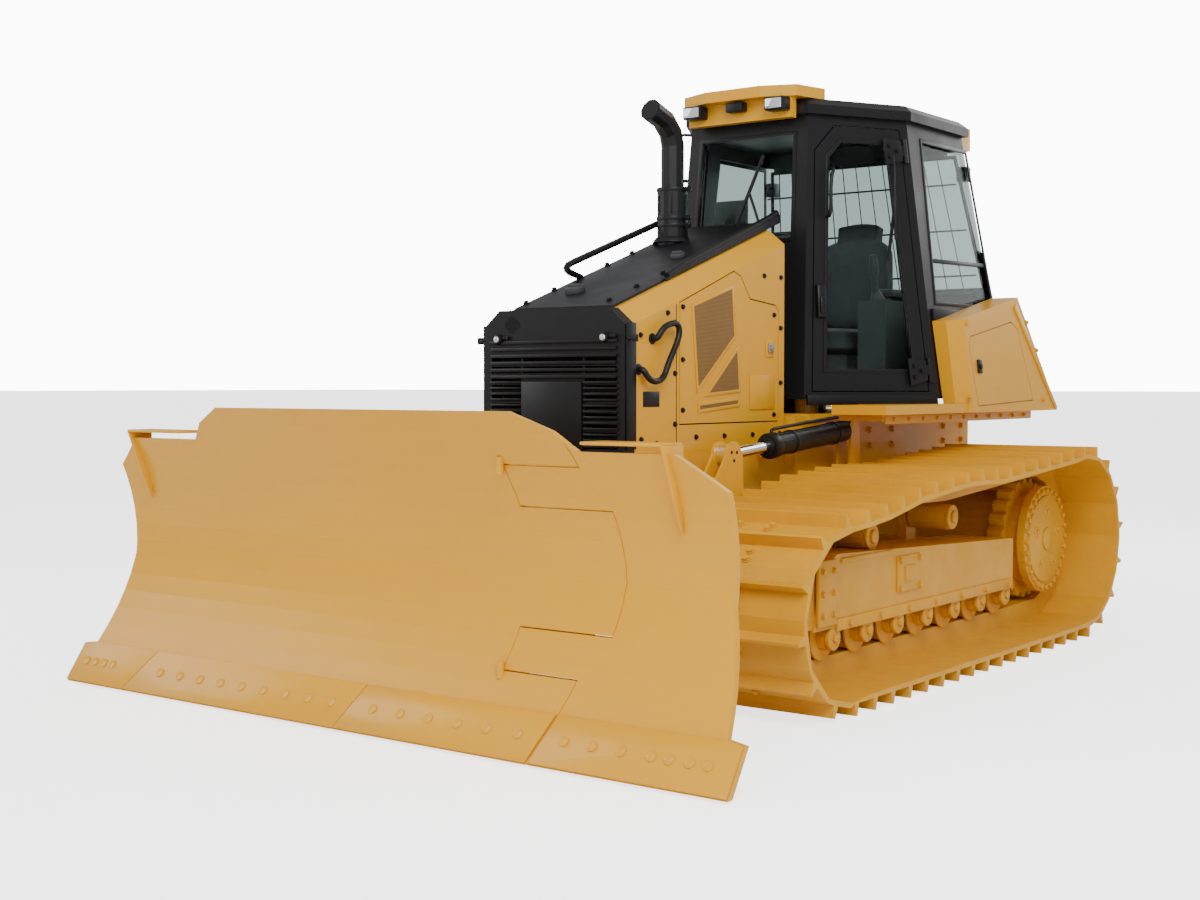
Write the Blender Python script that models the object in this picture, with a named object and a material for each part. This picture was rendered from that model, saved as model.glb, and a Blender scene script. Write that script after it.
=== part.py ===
"""Crawler bulldozer with a closed cab, a six-way blade and one folding blade wing.

+X is the machine's left, -Y its front, +Z up. Metres. Lengths along Y are first
counted from the first flat grouser under the idler, then everything is moved so
that the object's box is centred on the origin and stands on Z = 0.
"""
import bpy
import bmesh
import math
from mathutils import Matrix, Vector

# ---------------------------------------------------------------- driving sizes
GAP = 0.0003            # between pieces that touch
RUN = 0.006             # between pieces that move past each other

GAUGE = 2.0             # track centre to track centre
SHOE_W = 0.762          # width of a track shoe
SHOES = 46              # shoes in one track
SHOE_T = 0.020          # plate of a shoe
GROUSER = 0.050         # bar that stands out of a shoe
LINK_H = 0.090          # height of the link chain
LINK_W = 0.160          # width of the link chain
PITCH_IN = 0.070        # from a shoe's outer face in to the chain's pitch line
IDLER_Y = -0.085
IDLER_Z = 0.395
IDLER_R = 0.345         # to the outer face of the shoes
SPROCKET_Y = 2.450
SPROCKET_Z = 0.492
SPROCKET_R = 0.438      # to the outer face of the shoes
GROUND_END = 2.030      # last shoe that lies flat
CARRIERS = (0.600, 1.400)
CARRIER_R = 0.060
ROLLERS = 7
ROLLER_R = 0.090
FRAME_IN = 0.150        # roller frame, from the track's middle inwards
FRAME_OUT = 0.160       # and outwards

BODY_HALF = 0.385       # half width of the hood and the engine frame
MASK_Y = -0.200         # front face of the grille mask
HOOD_FRONT = -0.130
HOOD_REAR = 1.085
HOOD_LOW = 1.000        # lower edge of mask and side panels
DOOR_LOW = 1.115        # lower edge of the engine doors, above the lift cylinders
HOOD_Z0 = 1.545         # shoulder of the side panel at its front end
HOOD_Z1 = 1.960         # and at its rear end
SHOULDER = 0.085        # width of the slanted shoulder
SHOULDER_H = 0.070
SHEET = 0.012

CAB_Z0 = 1.220
CAB_Z1 = 2.620
CAB_LOW = ((0.400, 1.250), (0.780, 1.935), (0.780, 2.880))
CAB_TOP = ((0.342, 1.376), (0.620, 1.880), (0.620, 2.530))
CAB_WALL = 0.050
GLASS_T = 0.006
ROOF_T = 0.080

BOX_HALF = 0.930        # rear boxes, outer face at the floor
BOX_IN = 0.500
BOX_Z0 = 1.150
BOX_Z1 = 1.780

CASE_HALF = 0.440       # main case under the cab
CASE_REAR = 3.050
DECK_HALF = 0.850
RAIL_T = 0.045
DRAWBAR_END = 3.380

ARM_X = 0.545           # push arms of the blade frame
ARM_W = 0.082
ARM_H = 0.150
ARM_PIVOT = (1.150, 0.430)
LIFT_PIN = (0.330, 0.985)
LIFT_BASE = (1.430, 1.070)
LIFT_R = 0.052
ROD_R = 0.026
LIFT_EYE = 0.056        # width of a cylinder's eyes
ANGLE_EYE = 0.044
TILT_EYE = 0.048
PLATE_EAR = 0.012

ANGLE_BASE = (0.138, -0.700)
ANGLE_PIN = (0.620, -1.000)
ANGLE_Z = 0.700
TILT_BASE = (0.000, 0.910)
TILT_PIN = (0.620, 0.895)
TILT_Y = -1.012

ANGLE_Y = -0.920        # upright swivel pin of the blade
AXIS_Z = 0.450          # tilt axis height
BLADE_HALF = 1.700
EDGE_Z = 0.008
BLADE_TOP = 1.200       # raised centre
BLADE_SIDE = 1.065      # lower outer parts of the top
PLATE_T = 0.025
BLADE_FRONT = -1.454
SEAM = 0.0055           # gap round the folding wing
WING_X = 0.640          # hinge axis of the wing
WING_Y = -1.290
KNUCKLE_R = 0.014
TAB_LOW = 0.280         # lower edge of the wing's lower hinge tab
TAB_HIGH = 1.010        # upper edge of its upper hinge tab
WING_SLANT = 0.55       # the wing's edges run outwards and back through the plate

Y_SHIFT = -(BLADE_FRONT + DRAWBAR_END) / 2

# ---------------------------------------------------------------------- helpers
for old in list(bpy.data.objects):
    bpy.data.objects.remove(old, do_unlink=True)

MODEL = bpy.data.collections.new("bulldozer")
CUTTERS = bpy.data.collections.new("cutters")
bpy.context.scene.collection.children.link(MODEL)
bpy.context.scene.collection.children.link(CUTTERS)


def material(name, colour, roughness, metallic=0.0, alpha=1.0):
    mat = bpy.data.materials.new(name)
    mat.use_nodes = True
    shader = mat.node_tree.nodes["Principled BSDF"]
    shader.inputs["Base Color"].default_value = (*colour, 1.0)
    shader.inputs["Roughness"].default_value = roughness
    shader.inputs["Metallic"].default_value = metallic
    shader.inputs["Alpha"].default_value = alpha
    return mat


YELLOW = material("yellow_paint", (0.80, 0.44, 0.09), 0.40)
BLACK = material("black_paint", (0.020, 0.020, 0.020), 0.45)
GREY = material("dark_grey_paint", (0.040, 0.042, 0.042), 0.50)
STEEL = material("bright_steel", (0.70, 0.70, 0.70), 0.20, 1.0)
PLASTIC = material("grey_plastic", (0.10, 0.11, 0.11), 0.60)
CLOTH = material("seat_cloth", (0.06, 0.07, 0.08), 0.85)
GLASS = material("green_glass", (0.55, 0.85, 0.75), 0.05, 0.0, 0.35)
IRON = material("cast_iron", (0.10, 0.09, 0.08), 0.70, 0.5)


def from_bmesh(name, bm, mat):
    mesh = bpy.data.meshes.new(name)
    bmesh.ops.recalc_face_normals(bm, faces=bm.faces)
    bm.to_mesh(mesh)
    bm.free()
    return from_mesh(name, mesh, mat)


def from_mesh(name, mesh, mat):
    obj = bpy.data.objects.new(name, mesh)
    mesh.materials.clear()
    mesh.materials.append(mat)
    MODEL.objects.link(obj)
    return obj


def box(name, low, high, mat=YELLOW):
    bm = bmesh.new()
    bmesh.ops.create_cube(bm, size=1.0)
    size = [abs(b - a) for a, b in zip(low, high)]
    centre = [(a + b) / 2 for a, b in zip(low, high)]
    bmesh.ops.scale(bm, vec=size, verts=bm.verts)
    bmesh.ops.translate(bm, vec=centre, verts=bm.verts)
    return from_bmesh(name, bm, mat)


def rod(name, start, end, radius, mat=YELLOW, sides=20, end_radius=None):
    """A cylinder or cone from one point to another."""
    a = Vector(start)
    b = Vector(end)
    bm = bmesh.new()
    tip = radius if end_radius is None else end_radius
    bmesh.ops.create_cone(bm, cap_ends=True, segments=sides, radius1=radius, radius2=tip,
                          depth=(b - a).length)
    turn = Vector((0, 0, 1)).rotation_difference(b - a).to_matrix().to_4x4()
    bmesh.ops.transform(bm, matrix=Matrix.Translation((a + b) / 2) @ turn, verts=bm.verts)
    return from_bmesh(name, bm, mat)


def curve_mesh(name, curve, matrix, mat):
    """Turns a curve into a closed mesh object."""
    holder = bpy.data.objects.new(name, curve)
    MODEL.objects.link(holder)
    holder.matrix_world = matrix
    bpy.context.view_layer.update()
    graph = bpy.context.evaluated_depsgraph_get()
    mesh = bpy.data.meshes.new_from_object(holder.evaluated_get(graph))
    world = holder.matrix_world.copy()
    bpy.data.objects.remove(holder, do_unlink=True)
    bpy.data.curves.remove(curve)
    bm = bmesh.new()
    bm.from_mesh(mesh)
    bmesh.ops.remove_doubles(bm, verts=bm.verts, dist=0.00001)
    bmesh.ops.transform(bm, matrix=world, verts=bm.verts)
    bpy.data.meshes.remove(mesh)
    return from_bmesh(name, bm, mat)


def panel(name, outline, matrix, low, high, mat=YELLOW, hole=None):
    """A flat outline, filled and extruded from low to high along the local Z."""
    curve = bpy.data.curves.new(name, "CURVE")
    curve.dimensions = "2D"
    curve.fill_mode = "BOTH"
    curve.extrude = abs(high - low) / 2
    for run in (outline, hole) if hole else (outline,):
        spline = curve.splines.new("POLY")
        spline.points.add(len(run) - 1)
        for point, (u, v) in zip(spline.points, run):
            point.co = (u, v, 0, 1)
        spline.use_cyclic_u = True
    middle = Matrix.Translation((0, 0, (low + high) / 2))
    return curve_mesh(name, curve, matrix @ middle, mat)


ALONG_X = Matrix(((0, 0, 1, 0), (1, 0, 0, 0), (0, 1, 0, 0), (0, 0, 0, 1)))
ALONG_Y = Matrix(((1, 0, 0, 0), (0, 0, -1, 0), (0, 1, 0, 0), (0, 0, 0, 1)))
ALONG_Z = Matrix.Identity(4)


def plate_x(name, outline, low, high, mat=YELLOW, hole=None):
    """Outline in (y, z), from x = low to x = high."""
    return panel(name, outline, ALONG_X, low, high, mat, hole)


def plate_y(name, outline, low, high, mat=YELLOW):
    """Outline in (x, z), from y = low to y = high."""
    return panel(name, outline, ALONG_Y, -high, -low, mat)


def plate_z(name, outline, low, high, mat=YELLOW):
    """Outline in (x, y), from z = low to z = high."""
    return panel(name, outline, ALONG_Z, low, high, mat)


def tube(name, points, radius, mat=BLACK, resolution=2):
    """A round bar along straight runs."""
    curve = bpy.data.curves.new(name, "CURVE")
    curve.dimensions = "3D"
    curve.bevel_depth = radius
    curve.bevel_resolution = resolution
    curve.use_fill_caps = True
    spline = curve.splines.new("POLY")
    spline.points.add(len(points) - 1)
    for point, co in zip(spline.points, points):
        point.co = (*co, 1)
    return curve_mesh(name, curve, Matrix.Identity(4), mat)


def loft(name, sections, mat=YELLOW):
    """A closed solid through sections that have as many corners each."""
    bm = bmesh.new()
    rings = [[bm.verts.new(p) for p in section] for section in sections]
    for lower, upper in zip(rings, rings[1:]):
        for i in range(len(lower)):
            j = (i + 1) % len(lower)
            bm.faces.new((lower[i], lower[j], upper[j], upper[i]))
    bm.faces.new(rings[0][::-1])
    bm.faces.new(rings[-1])
    return from_bmesh(name, bm, mat)


def tool(obj):
    """Moves an object to the cutters."""
    MODEL.objects.unlink(obj)
    CUTTERS.objects.link(obj)
    obj.hide_render = True
    obj.display_type = "WIRE"
    return obj


def boolean(obj, others, operation, solver="EXACT"):
    for other in others:
        step = obj.modifiers.new(operation.lower(), "BOOLEAN")
        step.operation = operation
        step.object = tool(other)
        step.solver = solver
    return obj


def cut(obj, *others):
    return boolean(obj, others, "DIFFERENCE")


def join(obj, *others):
    return boolean(obj, others, "UNION")


def baked(obj):
    """The object's mesh with its modifiers applied."""
    bpy.context.view_layer.update()
    graph = bpy.context.evaluated_depsgraph_get()
    return bpy.data.meshes.new_from_object(obj.evaluated_get(graph))


def mirrored(obj, name):
    """A copy on the other side of the machine."""
    bm = bmesh.new()
    bm.from_mesh(baked(obj))
    bmesh.ops.scale(bm, vec=(-1, 1, 1), verts=bm.verts)
    bmesh.ops.reverse_faces(bm, faces=bm.faces)
    return from_bmesh(name, bm, obj.data.materials[0])


def circle(cy, cz, radius, sides, start=0.0, end=2 * math.pi):
    """Points on a round outline, the last one left out on a full turn."""
    full = abs(end - start) > 6.28
    count = sides if full else sides + 1
    step = (end - start) / sides
    return [(cy + radius * math.cos(start + i * step), cz + radius * math.sin(start + i * step))
            for i in range(count)]


def pivot(name, place, *objects, parent=None):
    """An empty on a joint's axis that carries the objects."""
    empty = bpy.data.objects.new(name, None)
    empty.empty_display_size = 0.1
    empty.location = place
    MODEL.objects.link(empty)
    bpy.context.view_layer.update()
    for obj in objects:
        obj.parent = empty
        obj.matrix_parent_inverse = empty.matrix_world.inverted()
    if parent is not None:
        empty.parent = parent
        empty.matrix_parent_inverse = parent.matrix_world.inverted()
    return empty


# ----------------------------------------------------------------------- tracks
def pitch_line():
    """The chain's pitch line as a dense closed run of points, from the front round below."""
    r0 = IDLER_R - PITCH_IN
    r1 = SPROCKET_R - PITCH_IN
    low = GROUSER + PITCH_IN
    points = []
    for i in range(41):
        a = math.pi * (1.0 + 0.5 * i / 40)
        points.append((IDLER_Y + r0 * math.cos(a), IDLER_Z + r0 * math.sin(a)))
    points[-1] = (IDLER_Y, low)
    points.append((GROUND_END, low))
    rise = math.radians(2.0)
    for i in range(61):
        a = -math.pi / 2 + rise + (math.pi + math.radians(3.0)) * i / 60
        points.append((SPROCKET_Y + r1 * math.cos(a), SPROCKET_Z + r1 * math.sin(a)))
    front = (IDLER_Y, IDLER_Z + r0)
    sag = ((CARRIERS[1], SPROCKET_Z + r1 - 0.068), (CARRIERS[1] - 0.35, SPROCKET_Z + r1 - 0.064),
           (CARRIERS[0], IDLER_Z + r0 + 0.090), (0.25, IDLER_Z + r0 + 0.028))
    points.extend(sag)
    for i in range(31):
        a = math.pi * (0.5 + 0.5 * i / 31)
        points.append((IDLER_Y + r0 * math.cos(a), IDLER_Z + r0 * math.sin(a)))
    return points


def even_points(points, count):
    """Points at even spacing along the closed run, each with its outward direction."""
    closed = [Vector(p) for p in points] + [Vector(points[0])]
    lengths = [0.0]
    for a, b in zip(closed, closed[1:]):
        lengths.append(lengths[-1] + (b - a).length)
    pitch = lengths[-1] / count
    found = []
    k = 0
    for i in range(count):
        want = (i + 0.5) * pitch
        while lengths[k + 1] < want:
            k += 1
        t = (want - lengths[k]) / (lengths[k + 1] - lengths[k])
        found.append(closed[k].lerp(closed[k + 1], t))
    result = []
    for i, here in enumerate(found):
        along = (found[(i + 1) % count] - found[i - 1]).normalized()
        result.append((here, along, Vector((along.y, -along.x))))
    return result, pitch


def make_track(name):
    """Shoes with their grousers and the link chain as one loop."""
    shoes, pitch = even_points(pitch_line(), SHOES)
    outer = []
    inner = []
    chain_out = []
    chain_in = []
    face = PITCH_IN
    for here, along, out in shoes:
        def at(a, n):
            p = here + along * a + out * n
            return (p.x, p.y)
        outer += [at(-0.42 * pitch, face), at(-0.35 * pitch, face + GROUSER),
                  at(-0.27 * pitch, face + GROUSER), at(-0.19 * pitch, face), at(0.48 * pitch, face)]
        inner.append(at(0.50 * pitch, face - SHOE_T))
        chain_out.append(at(0.50 * pitch, face - SHOE_T / 2))
        chain_in.append(at(0, -LINK_H / 2))
    x0 = (GAUGE - SHOE_W) / 2
    x1 = (GAUGE + SHOE_W) / 2
    loop = plate_x(name, outer, x0, x1, YELLOW, inner)
    chain = plate_x(name + "_chain", chain_out, GAUGE / 2 - LINK_W / 2, GAUGE / 2 + LINK_W / 2,
                    YELLOW, chain_in)
    return boolean(loop, [chain], "UNION", "MANIFOLD")


track_left = make_track("track_left")
track_right = mirrored(track_left, "track_right")

MID = GAUGE / 2
CHAIN_IN = PITCH_IN + LINK_H / 2


def bend_radius(outer):
    """Distance from a wheel's middle to the middle of a chain link that lies on it."""
    around = outer - PITCH_IN
    pitch = even_points(pitch_line(), SHOES)[1]
    return around * math.cos(pitch / 2 / around)


def make_track_frame(name):
    """Roller frame with its idler, bottom rollers and carrier rollers."""
    x0 = MID - FRAME_IN
    x1 = MID + FRAME_OUT
    outline = [(0.02, 0.300), (0.10, 0.560), (0.22, 0.600), (2.00, 0.530), (2.00, 0.300)]
    frame = plate_x(name, outline, x0, x1)
    parts = []
    for side in (-1, 1):
        fork = [(-0.22, 0.330), (-0.22, 0.470), (0.12, 0.560), (0.12, 0.300)]
        edge = MID + side * 0.130
        parts.append(plate_x(name + "_fork", fork, edge - 0.020, edge + 0.020))
    idler_r = bend_radius(IDLER_R) - LINK_H / 2 - 0.003
    parts.append(rod(name + "_idler", (MID - 0.09, IDLER_Y, IDLER_Z), (MID + 0.09, IDLER_Y, IDLER_Z),
                     idler_r, IRON, 28))
    parts.append(rod(name + "_axle", (MID - 0.16, IDLER_Y, IDLER_Z), (MID + 0.16, IDLER_Y, IDLER_Z),
                     0.055, IRON, 12))
    roller_z = GROUSER + CHAIN_IN + ROLLER_R + GAP
    for i in range(ROLLERS):
        y = 0.20 + i * (GROUND_END - 0.30) / (ROLLERS - 1)
        parts.append(rod(name + "_roller", (MID - 0.075, y, roller_z), (MID + 0.075, y, roller_z),
                         ROLLER_R, IRON, 12))
        parts.append(rod(name + "_collar", (MID - 0.135, y, roller_z), (MID + 0.135, y, roller_z),
                         ROLLER_R * 0.6, IRON, 8))
    for y, run_z in zip(CARRIERS, (IDLER_Z + IDLER_R + 0.090, SPROCKET_Z + SPROCKET_R - 0.068)):
        z = run_z - PITCH_IN - LINK_H / 2 - CARRIER_R - 0.015
        parts.append(rod(name + "_carrier", (MID - 0.09, y, z), (MID + 0.10, y, z), CARRIER_R, IRON, 14))
        parts.append(box(name + "_stand", (MID - 0.14, y - 0.05, 0.45), (MID - 0.10, y + 0.05, z + 0.036)))
        parts.append(rod(name + "_pin", (MID - 0.13, y, z), (MID - 0.05, y, z), 0.03, IRON, 8))
    join(frame, *parts)
    return frame


track_frame_left = make_track_frame("track_frame_left")
track_frame_right = mirrored(track_frame_left, "track_frame_right")


def make_sprocket(name):
    """Toothed rim and the final drive behind and in front of it."""
    rim = bend_radius(SPROCKET_R) - LINK_H / 2 - 0.004
    teeth = []
    count = 23
    for i in range(count):
        a = 2 * math.pi * i / count
        for turn, radius in ((-0.04, rim), (0.04, rim), (math.pi / count, rim - 0.030)):
            teeth.append((SPROCKET_Y + radius * math.cos(a + turn),
                          SPROCKET_Z + radius * math.sin(a + turn)))
    wheel = plate_x(name, teeth, MID - 0.04, MID + 0.04)
    hub = rod(name + "_hub", (CASE_HALF + GAP, SPROCKET_Y, SPROCKET_Z), (MID + 0.11, SPROCKET_Y, SPROCKET_Z),
              0.240, YELLOW, 28)
    cover = rod(name + "_cover", (MID + 0.105, SPROCKET_Y, SPROCKET_Z),
                (MID + 0.145, SPROCKET_Y, SPROCKET_Z), 0.275, YELLOW, 36)
    join(wheel, hub, cover)
    return wheel


sprocket_left = make_sprocket("sprocket_left")
sprocket_right = mirrored(sprocket_left, "sprocket_right")

# --------------------------------------------------------------- frame and case
def barrel_room(side):
    """Slot in the deck and the foot plate that the lift cylinder swings up through."""
    low, high = sorted((side * (ARM_X - 0.085), side * (ARM_X + 0.080)))
    return box("barrel_room", (low, 1.00, BOX_Z0 - 0.10), (high, LIFT_BASE[0] + 0.07, BOX_Z0 + 0.06))


main_frame = box("main_frame", (-CASE_HALF, 1.10, 0.42), (CASE_HALF, CASE_REAR, 1.140))
rails = []
for side in (-1, 1):
    low, high = sorted((side * (BODY_HALF - RAIL_T), side * BODY_HALF))
    rail_top = HOOD_LOW - GAP
    rail = [(MASK_Y + 0.02, 0.72), (MASK_Y + 0.02, rail_top), (1.15, rail_top), (1.15, 0.50), (0.35, 0.50)]
    rails.append(plate_x("frame_rail", rail, low, high))
rails.append(box("frame_front", (-BODY_HALF, MASK_Y + 0.02, 0.75), (BODY_HALF, MASK_Y + 0.08, 0.985)))
deck = box("deck", (-DECK_HALF, 1.20, BOX_Z0 - 0.030), (DECK_HALF, CASE_REAR - 0.08, BOX_Z0 - GAP))
for side in (-1, 1):
    cut(deck, barrel_room(side))
rails.append(deck)
for x in (-0.30, 0.30):
    for y in (1.45, 2.60):
        rails.append(rod("cab_mount", (x, y, BOX_Z0 - 0.02), (x, y, CAB_Z0 - GAP), 0.06, YELLOW, 16))
reach = MID - FRAME_IN - GAP
rails.append(rod("pivot_shaft", (-reach, 1.90, 0.46), (reach, 1.90, 0.46), 0.060, IRON, 16))
rails.append(box("front_bar", (-reach, 1.30, 0.38), (reach, 1.42, 0.50)))
for side in (-1, 1):
    ear_y, ear_z = LIFT_BASE
    for offset in (-1, 1):
        x = ARM_X + offset * (LIFT_EYE / 2 + GAP + PLATE_EAR / 2)
        ear = circle(ear_y, ear_z, 0.046, 10, 0.0, math.pi)
        ear += [(ear_y - 0.046, 0.86), (ear_y + 0.046, 0.86)]
        low, high = sorted((side * (x - PLATE_EAR / 2), side * (x + PLATE_EAR / 2)))
        rails.append(plate_x("lift_ear", ear, low, high))
    low, high = sorted((side * (CASE_HALF - 0.01), side * 0.607))
    rails.append(box("ear_base", (low, ear_y - 0.07, 0.82), (high, ear_y + 0.07, 0.875)))
    boss_y, boss_z = ARM_PIVOT
    low, high = sorted((side * (CASE_HALF - 0.05), side * (ARM_X - ARM_W / 2 - RUN)))
    rails.append(rod("arm_boss", (low, boss_y, boss_z), (high, boss_y, boss_z), 0.090, YELLOW, 20))
rails.append(box("drawbar", (-0.09, CASE_REAR - 0.05, 0.50), (0.09, DRAWBAR_END, 0.58)))
rails.append(box("drawbar_plate", (-0.25, CASE_REAR - 0.02, 0.42), (0.25, CASE_REAR + 0.05, 0.80)))
join(main_frame, *rails)

engine_half = BODY_HALF - RAIL_T - GAP
engine_block = box("engine_block", (-engine_half, 0.10, 0.80), (engine_half, 0.95, 1.45), IRON)

# ------------------------------------------------------------------------- hood
def hood_z(y):
    """Height of the shoulder's lower edge at a place along the hood."""
    return HOOD_Z0 + (HOOD_Z1 - HOOD_Z0) * (y - HOOD_FRONT) / (HOOD_REAR - HOOD_FRONT)


def hood_section(y, half, drop, low):
    top = hood_z(y) - drop
    shoulder = half - SHOULDER
    return [(-half, y, low), (half, y, low), (half, y, top), (shoulder, y, top + SHOULDER_H),
            (-shoulder, y, top + SHOULDER_H), (-half, y, top)]


hood_shell = loft("hood_shell", [hood_section(HOOD_FRONT, BODY_HALF, 0.0, HOOD_LOW),
                                 hood_section(HOOD_REAR, BODY_HALF, 0.0, HOOD_LOW)])
inside = loft("hood_inside", [hood_section(HOOD_FRONT - 0.05, BODY_HALF - SHEET, SHEET, 0.90),
                              hood_section(HOOD_REAR + 0.05, BODY_HALF - SHEET, SHEET, 0.90)])
DOOR_T = 0.010
DOOR_Y0 = 0.200
DOOR_Y1 = 1.035
engine_door_outline = [(DOOR_Y0, DOOR_LOW), (DOOR_Y1, DOOR_LOW), (DOOR_Y1, 1.640), (DOOR_Y1 - 0.03, 1.670),
                       (0.780, 1.690), (0.700, 1.790), (0.640, 1.810), (DOOR_Y0, 1.650)]
door_hole = plate_x("engine_door_hole", engine_door_outline, -1.0, 1.0)
cut(hood_shell, inside, door_hole)
for side in (-1, 1):
    for z in (1.14, 1.50):
        low, high = sorted((side * (BODY_HALF - SHEET - 0.014), side * (BODY_HALF - DOOR_T - GAP)))
        join(hood_shell, box("hinge_leaf", (low, DOOR_Y0 - 0.040, z), (high, DOOR_Y0 + 0.035, z + 0.08)))


def inset(outline, distance):
    """The outline moved inwards by a distance."""
    result = []
    count = len(outline)
    area = sum(outline[i][0] * outline[(i + 1) % count][1] - outline[(i + 1) % count][0] * outline[i][1]
               for i in range(count))
    turn = 1.0 if area > 0 else -1.0
    for i in range(count):
        a = Vector(outline[i - 1])
        b = Vector(outline[i])
        c = Vector(outline[(i + 1) % count])
        d0 = (b - a).normalized()
        d1 = (c - b).normalized()
        n0 = Vector((-d0.y, d0.x)) * turn
        n1 = Vector((-d1.y, d1.x)) * turn
        middle = (n0 + n1).normalized()
        result.append(tuple(b + middle * (distance / max(0.3, middle.dot(n0)))))
    return result


engine_door_left = plate_x("engine_door_left", inset(engine_door_outline, RUN),
                           BODY_HALF - DOOR_T, BODY_HALF)
engine_door_right = mirrored(engine_door_left, "engine_door_right")

slab = []
for y in (HOOD_FRONT, HOOD_REAR + 0.13):
    z = hood_z(y) + SHOULDER_H + GAP
    half = BODY_HALF - SHOULDER - 0.028
    slab.append([(-half, y, z), (half, y, z), (half, y, z + 0.012), (-half, y, z + 0.012)])
hood_top = loft("hood_top", slab, BLACK)
ridge = []
for y, height in ((0.25, 0.015), (0.45, 0.034), (HOOD_REAR + 0.13, 0.044)):
    z = hood_z(y) + SHOULDER_H
    half = BODY_HALF - SHOULDER - 0.015
    ridge.append([(half - 0.06, y, z + 0.004), (half - 0.001, y, z + 0.004), (half - 0.001, y, z + height),
                  (half - 0.03, y, z + height)])
rail_x = -(BODY_HALF - SHOULDER - 0.033)
rail_run = [(0.335, 0.0105), (0.325, 0.024), (0.262, 0.058), (0.240, 0.076), (0.236, 0.089), (0.248, 0.098),
            (0.280, 0.100), (1.100, 0.100), (1.135, 0.094), (1.155, 0.076), (1.160, 0.050), (1.160, 0.0085)]
grab = tube("hood_rail", [(rail_x, y, hood_z(y) + SHOULDER_H + rise) for y, rise in rail_run], 0.016)
join(hood_top, loft("ridge", ridge, BLACK), grab)

# front mask: a folded box with a framed grille and a plain middle plate
MASK_T = 0.060
mask_half = BODY_HALF
mask_outline = [(-mask_half, HOOD_LOW), (mask_half, HOOD_LOW), (mask_half, HOOD_Z0),
                (mask_half - SHOULDER, HOOD_Z0 + SHOULDER_H), (-mask_half + SHOULDER, HOOD_Z0 + SHOULDER_H),
                (-mask_half, HOOD_Z0)]
front_mask = plate_y("front_mask", mask_outline, MASK_Y, HOOD_FRONT - GAP, GREY)
slots = []
for i in range(10):
    z = 1.020 + i * 0.040
    for side in (-1, 1):
        low, high = sorted((side * 0.175, side * 0.345))
        if z > 1.38:
            continue
        slots.append(box("slot", (low, MASK_Y - 0.01, z), (high, HOOD_FRONT + 0.01, z + 0.030)))
for i in range(2):
    z = 1.340 + i * 0.040
    slots.append(box("slot", (-0.165, MASK_Y - 0.01, z), (0.165, HOOD_FRONT + 0.01, z + 0.030)))
cut(front_mask, *slots)

stack_x = -0.4416 * BODY_HALF
stack_y = 0.950
base_z = hood_z(stack_y) + SHOULDER_H
exhaust_stack = tube("exhaust_stack", [(stack_x, stack_y, base_z), (stack_x, stack_y, 2.46),
                                       (stack_x, stack_y - 0.02, 2.52), (stack_x, stack_y - 0.08, 2.575),
                                       (stack_x, stack_y - 0.19, 2.610)], 0.056, BLACK, 3)
sleeve = rod("sleeve", (stack_x, stack_y, base_z - 0.05), (stack_x, stack_y, 2.24), 0.075, BLACK, 20)
below = []
for y in (stack_y - 0.2, stack_y + 0.2):
    z = hood_z(y) + SHOULDER_H + 0.012 + 2 * GAP
    below.append([(stack_x - 0.2, y, 1.5), (stack_x + 0.2, y, 1.5), (stack_x + 0.2, y, z),
                  (stack_x - 0.2, y, z)])
join(exhaust_stack, sleeve)
cut(exhaust_stack, loft("below_stack", below))

# -------------------------------------------------------------------------- cab
def ring(corners, z):
    left = [(x, y, z) for x, y in corners]
    right = [(-x, y, z) for x, y in reversed(corners)]
    return left + right


def shrink(corners, distance):
    full = corners + tuple((-x, y) for x, y in reversed(corners))
    return tuple(inset(full, distance)[:len(corners)])


def lean(z):
    """Corners of the cab's outside at a height."""
    t = (z - CAB_Z0) / (CAB_Z1 - CAB_Z0)
    return tuple((a[0] + (b[0] - a[0]) * t, a[1] + (b[1] - a[1]) * t)
                 for a, b in zip(CAB_LOW, CAB_TOP))


cab_frame = loft("cab_frame", [ring(lean(CAB_Z0), CAB_Z0), ring(lean(CAB_Z1), CAB_Z1)], GREY)
hollow = loft("cab_hollow", [ring(shrink(lean(CAB_Z0 + 0.03), CAB_WALL), CAB_Z0 + 0.03),
                             ring(shrink(lean(CAB_Z1 + 0.05), CAB_WALL), CAB_Z1 + 0.05)])


def wall(start, end):
    """Frame of a cab wall: u along its foot, v up its slope, n outwards."""
    p = Vector((*lean(CAB_Z0)[start], CAB_Z0))
    q = Vector((*lean(CAB_Z0)[end], CAB_Z0))
    up = Vector((*lean(CAB_Z1)[start], CAB_Z1)) - p
    u = (q - p).normalized()
    n = u.cross(up).normalized()
    v = n.cross(u)
    matrix = Matrix.Identity(4)
    for column, axis in enumerate((u, v, n)):
        matrix.col[column][:3] = axis
    matrix.translation = p
    return matrix


door_wall = wall(0, 1)
side_wall = wall(1, 2)
front_wall = Matrix.Identity(4)
front_up = Vector((0, CAB_TOP[0][1] - CAB_LOW[0][1], CAB_Z1 - CAB_Z0)).normalized()
for column, axis in enumerate((Vector((1, 0, 0)), front_up, Vector((1, 0, 0)).cross(front_up))):
    front_wall.col[column][:3] = axis
front_wall.translation = (0, CAB_LOW[0][1], CAB_Z0)
rear_wall = Matrix.Identity(4)
rear_up = Vector((0, CAB_TOP[2][1] - CAB_LOW[2][1], CAB_Z1 - CAB_Z0)).normalized()
for column, axis in enumerate((Vector((-1, 0, 0)), rear_up, Vector((-1, 0, 0)).cross(rear_up))):
    rear_wall.col[column][:3] = axis
rear_wall.translation = (0, CAB_LOW[2][1], CAB_Z0)

stretch = (CAB_Z1 - CAB_Z0) / 1.400


def tall(outline):
    """The outline as high as the cab's walls ask for."""
    return [(u, v * stretch) for u, v in outline]


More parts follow.
